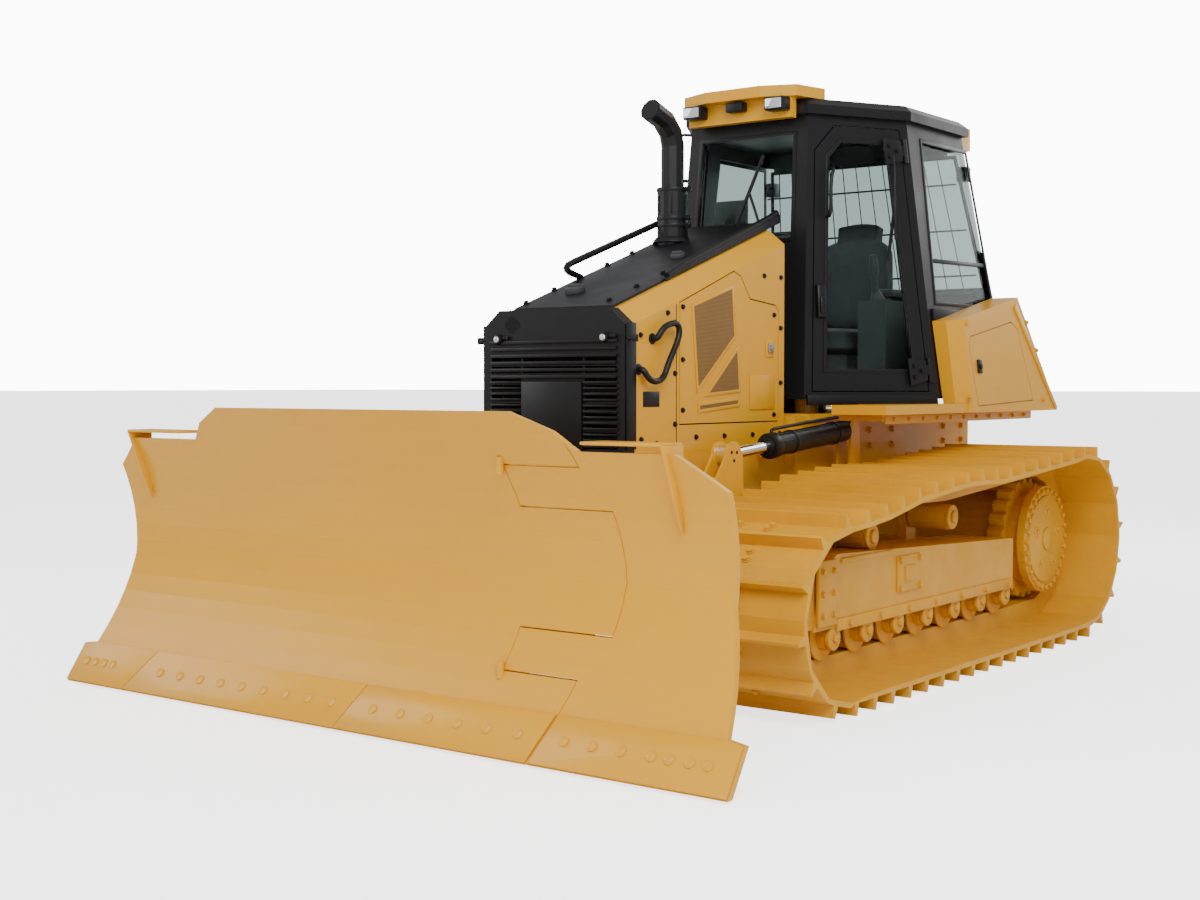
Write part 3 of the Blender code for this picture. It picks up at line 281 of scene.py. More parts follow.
def scattered(name, master, places, keep=False):
    """Copies of one small piece at many frames, joined into one."""
    copies = [copied(master, matrix) for matrix in places]
    if not keep:
        bpy.data.objects.remove(master, do_unlink=True)
    return joined(name, copies)


def placed(obj, body, finish):
    """Gives the piece its finish and the body that it rides on."""
    obj.data.materials.clear()
    obj.data.materials.append(finish)
    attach(obj, body)
    return obj


# ------------------------------------------------------------------- finishes
def socket(group, name, kind, way, value=None):
    made = group.interface.new_socket(name=name, in_out=way, socket_type=kind)
    if value is not None:
        made.default_value = value
    return made


def tone_group():
    """Slow and fine colour changes over a painted or moulded surface."""
    group = bpy.data.node_groups.new("uneven_tone", "ShaderNodeTree")
    socket(group, "Color", "NodeSocketColor", "INPUT")
    socket(group, "Amount", "NodeSocketFloat", "INPUT", 0.1)
    socket(group, "Scale", "NodeSocketFloat", "INPUT", 3.0)
    socket(group, "Color", "NodeSocketColor", "OUTPUT")
    socket(group, "Mask", "NodeSocketFloat", "OUTPUT")
    node = group.nodes
    link = group.links.new
    given = node.new("NodeGroupInput")
    out = node.new("NodeGroupOutput")
    place = node.new("ShaderNodeTexCoord")
    noise = node.new("ShaderNodeTexNoise")
    noise.inputs["Detail"].default_value = 5.0
    noise.inputs["Roughness"].default_value = 0.6
    link(place.outputs["Object"], noise.inputs["Vector"])
    link(given.outputs["Scale"], noise.inputs["Scale"])
    spread = node.new("ShaderNodeMapRange")
    spread.inputs["From Min"].default_value = 0.3
    spread.inputs["From Max"].default_value = 0.7
    link(noise.outputs["Fac"], spread.inputs["Value"])
    dim = node.new("ShaderNodeMath")
    dim.operation = "MULTIPLY"
    link(spread.outputs["Result"], dim.inputs[0])
    link(given.outputs["Amount"], dim.inputs[1])
    dark = node.new("ShaderNodeMix")
    dark.data_type = "RGBA"
    dark.blend_type = "MULTIPLY"
    dark.inputs["B"].default_value = (0.45, 0.42, 0.40, 1)
    link(dim.outputs["Value"], dark.inputs["Factor"])
    link(given.outputs["Color"], dark.inputs["A"])
    link(dark.outputs["Result"], out.inputs["Color"])
    link(spread.outputs["Result"], out.inputs["Mask"])
    return group


def grain_group():
    """Height of a fine surface grain: orange peel, casting skin or moulded texture."""
    group = bpy.data.node_groups.new("fine_grain", "ShaderNodeTree")
    socket(group, "Scale", "NodeSocketFloat", "INPUT", 200.0)
    socket(group, "Coarse", "NodeSocketFloat", "INPUT", 0.3)
    socket(group, "Height", "NodeSocketFloat", "OUTPUT")
    node = group.nodes
    link = group.links.new
    given = node.new("NodeGroupInput")
    out = node.new("NodeGroupOutput")
    place = node.new("ShaderNodeTexCoord")
    fine = node.new("ShaderNodeTexNoise")
    fine.inputs["Detail"].default_value = 2.0
    link(place.outputs["Object"], fine.inputs["Vector"])
    link(given.outputs["Scale"], fine.inputs["Scale"])
    wide = node.new("ShaderNodeTexNoise")
    wide.inputs["Scale"].default_value = 9.0
    wide.inputs["Detail"].default_value = 3.0
    link(place.outputs["Object"], wide.inputs["Vector"])
    both = node.new("ShaderNodeMix")
    link(given.outputs["Coarse"], both.inputs["Factor"])
    link(fine.outputs["Fac"], both.inputs["A"])
    link(wide.outputs["Fac"], both.inputs["B"])
    link(both.outputs["Result"], out.inputs["Height"])
    return group


def dust_group():
    """Mask of the fine dust that settles low on the machine, in patches."""
    group = bpy.data.node_groups.new("settled_dust", "ShaderNodeTree")
    socket(group, "Reach", "NodeSocketFloat", "INPUT", 1.0)
    socket(group, "Amount", "NodeSocketFloat", "INPUT", 0.2)
    socket(group, "Mask", "NodeSocketFloat", "OUTPUT")
    node = group.nodes
    link = group.links.new
    given = node.new("NodeGroupInput")
    out = node.new("NodeGroupOutput")
    place = node.new("ShaderNodeTexCoord")
    split = node.new("ShaderNodeSeparateXYZ")
    link(place.outputs["Object"], split.inputs["Vector"])
    fall = node.new("ShaderNodeMapRange")
    fall.inputs["From Min"].default_value = 0.0
    fall.inputs["To Min"].default_value = 1.0
    fall.inputs["To Max"].default_value = 0.0
    link(split.outputs["Z"], fall.inputs["Value"])
    link(given.outputs["Reach"], fall.inputs["From Max"])
    patch = node.new("ShaderNodeTexNoise")
    patch.inputs["Scale"].default_value = 7.0
    patch.inputs["Detail"].default_value = 6.0
    link(place.outputs["Object"], patch.inputs["Vector"])
    cover = node.new("ShaderNodeMath")
    cover.operation = "MULTIPLY"
    link(fall.outputs["Result"], cover.inputs[0])
    link(patch.outputs["Fac"], cover.inputs[1])
    scaled = node.new("ShaderNodeMath")
    scaled.operation = "MULTIPLY"
    link(cover.outputs["Value"], scaled.inputs[0])
    link(given.outputs["Amount"], scaled.inputs[1])
    link(scaled.outputs["Value"], out.inputs["Mask"])
    return group


def shared(name, build):
    return bpy.data.node_groups.get(name) or build()


def finish(name, color, rough, metal=0.0, coat=0.0, tone=0.12, tone_scale=2.5, grain=220.0, coarse=0.2,
           bump=0.06, dust=0.0, dust_reach=1.0, rough_spread=0.08, gloss=0.5):
    """A solid surface: paint, bare metal, rubber, plastic or cloth, told apart by its values."""
    material = bpy.data.materials.get(name)
    if material:
        return material
    material = bpy.data.materials.new(name)
    material.use_nodes = True
    tree = material.node_tree
    node = tree.nodes
    link = tree.links.new
    shader = node["Principled BSDF"]
    shader.inputs["Metallic"].default_value = metal
    shader.inputs["Coat Weight"].default_value = coat
    shader.inputs["Coat Roughness"].default_value = 0.12
    shader.inputs["Specular IOR Level"].default_value = gloss
    tones = node.new("ShaderNodeGroup")
    tones.node_tree = shared("uneven_tone", tone_group)
    tones.inputs["Color"].default_value = (*color, 1)
    tones.inputs["Amount"].default_value = tone
    tones.inputs["Scale"].default_value = tone_scale
    surface = tones.outputs["Color"]
    if dust:
        settled = node.new("ShaderNodeGroup")
        settled.node_tree = shared("settled_dust", dust_group)
        settled.inputs["Reach"].default_value = dust_reach
        settled.inputs["Amount"].default_value = dust
        powder = node.new("ShaderNodeMix")
        powder.data_type = "RGBA"
        powder.inputs["B"].default_value = (0.42, 0.33, 0.22, 1)
        link(settled.outputs["Mask"], powder.inputs["Factor"])
        link(surface, powder.inputs["A"])
        surface = powder.outputs["Result"]
    link(surface, shader.inputs["Base Color"])
    dull = node.new("ShaderNodeMapRange")
    dull.inputs["To Min"].default_value = max(0.02, rough - rough_spread)
    dull.inputs["To Max"].default_value = min(1.0, rough + rough_spread)
    link(tones.outputs["Mask"], dull.inputs["Value"])
    link(dull.outputs["Result"], shader.inputs["Roughness"])
    skin = node.new("ShaderNodeGroup")
    skin.node_tree = shared("fine_grain", grain_group)
    skin.inputs["Scale"].default_value = grain
    skin.inputs["Coarse"].default_value = coarse
    relief = node.new("ShaderNodeBump")
    relief.inputs["Strength"].default_value = bump
    relief.inputs["Distance"].default_value = 0.002
    link(skin.outputs["Height"], relief.inputs["Height"])
    link(relief.outputs["Normal"], shader.inputs["Normal"])
    return material


# values of the running gear, as in the frame
SHOES = 46
GROUSER, PITCH_IN = 0.050, 0.070
IDLER = (-0.085, 0.395, 0.345)
SPROCKET = (2.450, 0.492, 0.438)
GROUND_END = 2.030
CARRIERS = ((0.600, 0.640), (1.400, 0.672))

# values of the upper body, as in the frame
BODY_HALF = 0.385
MASK_Y = -0.200
HOOD_FRONT, HOOD_REAR = -0.130, 1.085
HOOD_Z0, HOOD_Z1 = 1.545, 1.960
SHOULDER_H = 0.070
CAB_Z0, CAB_Z1 = 1.220, 2.620
CAB_LOW = ((0.400, 1.250), (0.780, 1.935), (0.780, 2.880))
CAB_TOP = ((0.342, 1.376), (0.620, 1.880), (0.620, 2.530))
DOOR = ((0.045, 0.035), (0.735, 0.035), (0.615, 1.360), (0.230, 1.360), (0.110, 1.230))
SIDE_WINDOW = ((0.070, 0.480), (0.810, 0.480), (0.640, 1.340), (0.080, 1.340))
FRONT_WINDOW = ((-0.300, 0.780), (0.300, 0.780), (0.285, 1.330), (-0.285, 1.330))
REAR_WINDOW = ((-0.680, 0.600), (0.680, 0.600), (0.580, 1.350), (-0.580, 1.350))
BOX_HALF, BOX_Z0, BOX_Z1 = 0.930, 1.150, 1.780
LIFT_BASE, LIFT_PIN, ARM_X = (1.430, 1.070), (0.330, 0.985), 0.545


# --------------------------------------------------------- settings of the looks
class BulldozerSettings(bpy.types.PropertyGroup):
    yellow: FloatVectorProperty(name="Yellow paint", description="Colour of the body paint",
                                subtype="COLOR", size=3, default=(0.72, 0.345, 0.004))
    dark: FloatVectorProperty(name="Dark paint", description="Colour of the cab and the grille mask",
                              subtype="COLOR", size=3, default=(0.010, 0.010, 0.011))
    tint: FloatVectorProperty(name="Glass tint", description="Colour of the cab glass",
                              subtype="COLOR", size=3, default=(0.84, 0.97, 0.93))
    gauge: FloatProperty(name="Track gauge", description="Distance between the middles of the tracks",
                         default=2.0, unit="LENGTH")
    shoes: IntProperty(name="Shoes", description="Shoes on each track", default=SHOES)
    edge_bolt: FloatProperty(name="Edge bolt", description="Head radius of the cutting edge bolts",
                             default=0.019, unit="LENGTH")
    cap_bolt: FloatProperty(name="Cap bolt", description="Head radius of the panel bolts",
                            default=0.009, unit="LENGTH")


def yellow():
    return finish("yellow_paint", settings().yellow, 0.34, coat=0.12, tone=0.08, tone_scale=1.3, dust=0.02,
                  dust_reach=0.8, gloss=0.35)


def track_yellow():
    return finish("track_paint", settings().yellow, 0.46, coat=0.04, tone=0.24, tone_scale=5.0, grain=150.0,
                  bump=0.12, dust=0.10, dust_reach=0.9, gloss=0.30)


def dark():
    return finish("cab_paint", settings().dark, 0.40, tone=0.25, grain=500.0, bump=0.10, gloss=0.25)


def black():
    return finish("black_paint", (0.007, 0.007, 0.008), 0.42, gloss=0.30, tone=0.25, grain=420.0, bump=0.14)


def chrome():
    return finish("chromed_rod", (0.80, 0.81, 0.83), 0.12, metal=1.0, tone=0.06, grain=900.0, bump=0.02,
                  rough_spread=0.04)


def steel():
    return finish("bare_steel", (0.42, 0.41, 0.40), 0.38, metal=1.0, tone=0.30, tone_scale=14.0, bump=0.08)


def casting():
    return finish("cast_iron", (0.10, 0.095, 0.09), 0.62, metal=0.7, tone=0.30, tone_scale=12.0,
                  grain=160.0, bump=0.25)


def rubber():
    return finish("rubber_seal", (0.012, 0.012, 0.012), 0.68, tone=0.2, grain=600.0, bump=0.10)


def moulded():
    return finish("moulded_plastic", (0.045, 0.047, 0.048), 0.58, tone=0.15, grain=700.0, bump=0.22)


def cloth():
    return finish("seat_cloth", (0.040, 0.042, 0.045), 0.92, tone=0.30, tone_scale=30.0, grain=1100.0,
                  coarse=0.05, bump=0.50)


def dark_gap():
    return finish("shadow_black", (0.004, 0.004, 0.004), 0.8, tone=0.1, bump=0.02)


def lens():
    return finish("lamp_lens", (0.70, 0.72, 0.74), 0.10, metal=0.6, coat=1.0, tone=0.05, grain=90.0, bump=0.3)


def mesh_panel():
    """Woven guard mesh in front of the engine, its holes painted dark brown as the shade seen through them.
    """
    material = bpy.data.materials.get("vent_mesh")
    if material:
        return material
    material = finish("vent_mesh", (0.36, 0.19, 0.035), 0.55, metal=0.2, tone=0.10, bump=0.5)
    tree = material.node_tree
    shader = tree.nodes["Principled BSDF"]
    color = shader.inputs["Base Color"].links[0].from_socket
    place = tree.nodes.new("ShaderNodeTexCoord")
    cells = tree.nodes.new("ShaderNodeTexVoronoi")
    cells.inputs["Scale"].default_value = 170.0
    cells.inputs["Randomness"].default_value = 0.0
    tree.links.new(place.outputs["Object"], cells.inputs["Vector"])
    # Painted shade: the holes of the mesh take a dark brown, the shade seen through it.
    holes = tree.nodes.new("ShaderNodeMapRange")
    holes.inputs["From Min"].default_value = 0.35
    holes.inputs["From Max"].default_value = 0.50
    tree.links.new(cells.outputs["Distance"], holes.inputs["Value"])
    mix = tree.nodes.new("ShaderNodeMix")
    mix.data_type = "RGBA"
    mix.inputs["A"].default_value = (0.10, 0.052, 0.012, 1)
    tree.links.new(holes.outputs["Result"], mix.inputs["Factor"])
    tree.links.new(color, mix.inputs["B"])
    tree.links.new(mix.outputs["Result"], shader.inputs["Base Color"])
    return material


def glass():
    """Tinted cab glass with faint smears."""
    material = bpy.data.materials.get("cab_glass")
    if material:
        return material
    material = finish("cab_glass", settings().tint, 0.02, tone=0.04, tone_scale=2.0, bump=0.0,
                      rough_spread=0.015)
    shader = material.node_tree.nodes["Principled BSDF"]
    shader.inputs["Transmission Weight"].default_value = 1.0
    shader.inputs["IOR"].default_value = 1.10
    shader.inputs["Specular IOR Level"].default_value = 0.5
    return material


def settings():
    return bpy.context.scene.bulldozer


def assign(finish_made, *nodes):
    for name in nodes:
        materials = NODES[name].data.materials
        for i in range(len(materials)):
            materials[i] = finish_made
        if not len(materials):
            materials.append(finish_made)


# ------------------------------------------------------------------ operators
class BULLDOZER_OT_paint(bpy.types.Operator):
    """Gives every part of the frame its paint, glass, chrome or casting skin"""
    bl_idname = "bulldozer.paint"
    bl_label = "Paint the frame"

    def execute(self, context):
        looks = {
            "track": track_yellow, "sprocket": track_yellow, "engine_block": casting,
            "hood_top": black, "exhaust": black, "front_mask": dark, "cab_frame": dark, "cab_door": dark,
            "cab_roof": dark, "cab_interior": moulded, "seat": cloth,
        }
        for name in NODES:
            made = yellow
            for start, look in looks.items():
                if name.startswith(start):
                    made = look
            if "glass" in name or name == "windshield":
                made = glass
            if name.endswith("_rod"):
                made = chrome
            if name.endswith("_barrel"):
                made = black
            assign(made(), name)
        return {"FINISHED"}


class BULLDOZER_OT_blade(bpy.types.Operator):
    """Adds the cutting edges, end bits, plough bolts and top plates of the blade"""
    bl_idname = "bulldozer.blade"
    bl_label = "Blade fittings"

    def execute(self, context):
        edge = plane_frame(at(0, -1.3463, 0.1705), (1, 0, 0), (0, 0.108, 0.162))
        low = -0.190
        bits = {
            "end_bit_right": [(-1.697, low), (-1.314, low), (-1.200, -0.004), (-1.640, -0.004),
                              (-1.697, -0.014)],
            "cutting_edge_right": [(-1.310, low), (-0.044, low), (0.042, -0.004), (-1.196, -0.004)],
            "cutting_edge_left": [(-0.040, low), (0.889, low), (0.945, -0.004), (0.046, -0.004)],
            "end_bit_left": [(0.903, low), (1.697, low), (1.697, -0.014), (1.640, -0.004), (0.959, -0.004)],
        }
        for name, outline in bits.items():
            body = "blade_wing" if name == "end_bit_left" else "blade"
            placed(flat(name, outline, 0.010, edge, 0.0025), body, yellow())
        rows = {
            "blade": [-1.62, -1.56, -1.50, -1.44] + [-1.12 + 0.128 * i for i in range(9)]
                     + [0.12 + 0.140 * i for i in range(6)],
            "blade_wing": [1.02, 1.14, 1.26, 1.38, 1.45, 1.53, 1.60],
        }
        for body, row in rows.items():
            places = [edge @ Matrix.Translation((x, -0.095, 0.010)) for x in row]
            bolts = scattered(body + "_plough_bolts", round_bolt(settings().edge_bolt), places)
            placed(bolts, body, yellow())
        for side, body, x0, x1 in (("left", "blade_wing", 1.03, 1.36), ("right", "blade", -1.42, -1.08)):
            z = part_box("blade_wing")[1].z - 0.012
            shelf = block("top_shelf_" + side, at(x0, -1.335, z), at(x1, -1.205, z + 0.012), 0.004)
            end = x1 if x0 > 0 else x0
            gusset = flat("gusset", [(-0.12, 0.0), (0.0, 0.0), (0.0, -0.30), (-0.06, -0.16)], 0.012,
                          plane_frame(at(end, -1.215, z + 0.004), (0, 1, 0), (0, 0, 1)), 0.002)
            placed(joined("top_shelf_" + side, [shelf, gusset]), body, yellow())
        return {"FINISHED"}


def pitch_line():
    """The chain's pitch line as (y, z) points, from the front round below."""
    r0 = IDLER[2] - PITCH_IN
    r1 = SPROCKET[2] - PITCH_IN
    low = GROUSER + PITCH_IN
    points = [(IDLER[0] + r0 * math.cos(a), IDLER[1] + r0 * math.sin(a))
              for a in (math.pi * (1.0 + 0.5 * i / 40) for i in range(40))]
    points += [(IDLER[0], low), (GROUND_END, low)]
    points += [(SPROCKET[0] + r1 * math.cos(a), SPROCKET[1] + r1 * math.sin(a))
               for a in (-math.pi / 2 + math.radians(2) + (math.pi + math.radians(3)) * i / 60
                         for i in range(61))]
    points += [(1.40, SPROCKET[1] + r1 - 0.068), (1.05, SPROCKET[1] + r1 - 0.064),
               (0.60, IDLER[1] + r0 + 0.090), (0.25, IDLER[1] + r0 + 0.028)]
    points += [(IDLER[0] + r0 * math.cos(a), IDLER[1] + r0 * math.sin(a))
               for a in (math.pi * (0.5 + 0.5 * i / 31) for i in range(31))]
    return points


def shoe_frames(x):
    """A frame for each shoe at its pitch point: X across the track, Y along it, Z outwards."""
    count = settings().shoes
    line = [Vector(p) for p in pitch_line()]
    closed = line + [line[0]]
    lengths = [0.0]
    for a, b in zip(closed, closed[1:]):
        lengths.append(lengths[-1] + (b - a).length)
    pitch = lengths[-1] / count
    found = []
    k = 0
    for i in range(count):
        want = (i + 0.5) * pitch
        while lengths[k + 1] < want:
            k += 1
        found.append(closed[k].lerp(closed[k + 1], (want - lengths[k]) / (lengths[k + 1] - lengths[k])))
    frames = []
    for i, here in enumerate(found):
        along = (found[(i + 1) % count] - found[i - 1]).normalized()
        out = Vector((along.y, -along.x))
        matrix = Matrix.Identity(4)
        matrix.col[0][:3] = Vector((0, along.x, along.y)).cross(Vector((0, out.x, out.y)))
        matrix.col[1][:3] = (0, along.x, along.y)
        matrix.col[2][:3] = (0, out.x, out.y)
        matrix.translation = at(x, here.x, here.y)
        frames.append(matrix)
    return frames, pitch


class BULLDOZER_OT_tracks(bpy.types.Operator):
    """Adds the chain links, shoe bolts, roller caps, covers and hub bolts of both tracks"""
    bl_idname = "bulldozer.tracks"
    bl_label = "Track fittings"

    def execute(self, context):
        middle = settings().gauge / 2
        frames, pitch = shoe_frames(middle)
        link = flat("link", [(-0.56 * pitch, -0.040), (0.30 * pitch, -0.046), (0.50 * pitch, -0.030),
                             (0.56 * pitch, 0.0), (0.50 * pitch, 0.030), (0.30 * pitch, 0.052),
                             (-0.36 * pitch, 0.052), (-0.56 * pitch, 0.020)],
                    0.018, plane_frame((0.081, 0, 0), (0, 1, 0), (0, 0, 1)), 0.004,
                    holes=[[(-0.10 * pitch + 0.020 * math.cos(a), 0.012 + 0.014 * math.sin(a))
                            for a in (math.tau * i / 10 for i in range(10))]])
        pin = turned("pin", (0.095, -0.42 * pitch, -0.008), (0.112, -0.42 * pitch, -0.008), 0.024, 14, 0.003)
        link = joined("link", [link, pin])
        links = scattered("chain_links_left", link, frames)
        placed(links, "tractor", track_yellow())
        placed(mirrored(links, "chain_links_right"), "tractor", track_yellow())
        spots = []
        for frame_here in frames:
            for x in (-0.075, 0.075):
                for y in (0.02, 0.30):
                    spots.append(frame_here @ Matrix.Translation((x, y * pitch, PITCH_IN)))
        bolts = scattered("shoe_bolts_left", hex_bolt(0.014), spots)
        placed(bolts, "tractor", track_yellow())
        placed(mirrored(bolts, "shoe_bolts_right"), "tractor", track_yellow())

        caps = []
        roller_z = GROUSER + PITCH_IN + 0.045 + 0.090
        for i in range(7):
            y = 0.20 + i * (GROUND_END - 0.30) / 6
            x = middle + 0.1352
            caps.append(turned("roller_cap", at(x, y, roller_z), at(x + 0.022, y, roller_z), 0.052, 24,
                               0.005))
            caps.append(turned("roller_nut", at(x + 0.020, y, roller_z), at(x + 0.034, y, roller_z), 0.020,
                               6, 0.002))
            for offset in (-1, 1):
                caps.append(turned("flange", at(middle + offset * 0.086, y, roller_z),
                                   at(middle + offset * 0.098, y, roller_z), 0.098, 28, 0.003))
        for y, z in CARRIERS:
            x = middle + 0.1005
            caps.append(turned("carrier_cap", at(x, y, z), at(x + 0.018, y, z), 0.058, 28, 0.005))
            caps.append(turned("carrier_boss", at(x + 0.016, y, z), at(x + 0.030, y, z), 0.030, 20, 0.004))
        rollers = joined("roller_caps_left", caps)
        placed(rollers, "tractor", track_yellow())
        placed(mirrored(rollers, "roller_caps_right"), "tractor", track_yellow())

        outside = middle + 0.160
        plates = [block("cover_plate", at(outside - 0.002, 0.74, 0.385), at(outside + 0.010, 0.96, 0.545),
                        0.006),
                  block("cover_grip", at(outside + 0.006, 0.80, 0.43), at(outside + 0.018, 0.90, 0.50),
                        0.004),
                  block("front_casting", at(outside - 0.002, 0.035, 0.315),
                        at(outside + 0.016, 0.19, 0.585), 0.008),
                  block("lower_guard", at(outside - 0.004, 0.20, 0.285), at(outside + 0.012, 1.98, 0.335),
                        0.005),
                  block("upper_lip", at(outside - 0.004, 0.24, 0.560), at(outside + 0.008, 0.70, 0.580),
                        0.003)]
        bolt = hex_bolt(0.011)
        spots = [aimed(at(outside + 0.016, y, z), (1, 0, 0)) for y in (0.065, 0.155) for z in (0.36, 0.45,
                                                0.54)]
        spots += [aimed(at(outside + 0.010, y, z), (1, 0, 0)) for y in (0.757, 0.943) for z in (0.402, 0.528)]
        spots += [aimed(at(outside + 0.012, 0.30 + 0.27 * i, 0.31), (1, 0, 0)) for i in range(7)]
        plates.append(scattered("frame_bolts", bolt, spots))
        frame_plates = joined("track_frame_plates_left", plates)
        placed(frame_plates, "tractor", track_yellow())
        placed(mirrored(frame_plates, "track_frame_plates_right"), "tractor", track_yellow())

        face = middle + 0.145
        ring = [turned("hub_rim", at(face - 0.004, *SPROCKET[:2]), at(face + 0.010, *SPROCKET[:2]), 0.225,
                       48, 0.006),
                turned("hub_boss", at(face + 0.008, *SPROCKET[:2]), at(face + 0.020, *SPROCKET[:2]), 0.060,
                       28, 0.005)]
        knob = turned("knob", (0, 0, 0), (0, 0, 0.016), 0.013, 10, 0.002)
        spots = []
        for i in range(28):
            a = math.tau * i / 28
            spots.append(aimed(at(face, SPROCKET[0] + 0.252 * math.cos(a), SPROCKET[1] + 0.252 * math.sin(a)),
                               (1, 0, 0)))
        ring.append(scattered("hub_knobs", knob, spots))
        for i in range(5):
            a = math.tau * (i / 5 + 0.05)
            y = SPROCKET[0] + 0.140 * math.cos(a)
            z = SPROCKET[1] + 0.140 * math.sin(a)
            ring.append(turned("plug_seat", at(face + 0.008, y, z), at(face + 0.014, y, z), 0.030, 24, 0.003))
            ring.append(turned("plug", at(face + 0.012, y, z), at(face + 0.022, y, z), 0.014, 6, 0.002))
        hub = joined("hub_cover_left", ring)
        placed(hub, "tractor", track_yellow())
        placed(mirrored(hub, "hub_cover_right"), "tractor", track_yellow())
        return {"FINISHED"}


def hood_z(y):
    """Height of the hood's shoulder at a place along it."""
    return HOOD_Z0 + (HOOD_Z1 - HOOD_Z0) * (y - HOOD_FRONT) / (HOOD_REAR - HOOD_FRONT)


def cab_wall(start, end):
    """Frame of a cab wall: X along its foot, Y up its slope, Z outwards."""
    foot = at(*CAB_LOW[start], CAB_Z0)
    return plane_frame(foot, at(*CAB_LOW[end], CAB_Z0) - foot, at(*CAB_TOP[start], CAB_Z1) - foot)


def inset(outline, distance):
    """The outline drawn in by a distance."""
    points = [Vector(p) for p in outline]
    result = []
    for i, here in enumerate(points):
        before = (here - points[i - 1]).normalized()
        after = (points[(i + 1) % len(points)] - here).normalized()
        inward = (Vector((-before.y, before.x)) + Vector((-after.y, after.x)))
        inward = inward / max(0.2, inward.length_squared) * 2
        result.append(tuple(here + inward * distance))
    return result


def seal(name, outline, matrix, width=0.022, height=0.010):
    """A rubber seal round a window, inside its outline."""
    return flat(name, list(outline), height, matrix, 0.002, holes=[inset(outline, width)])


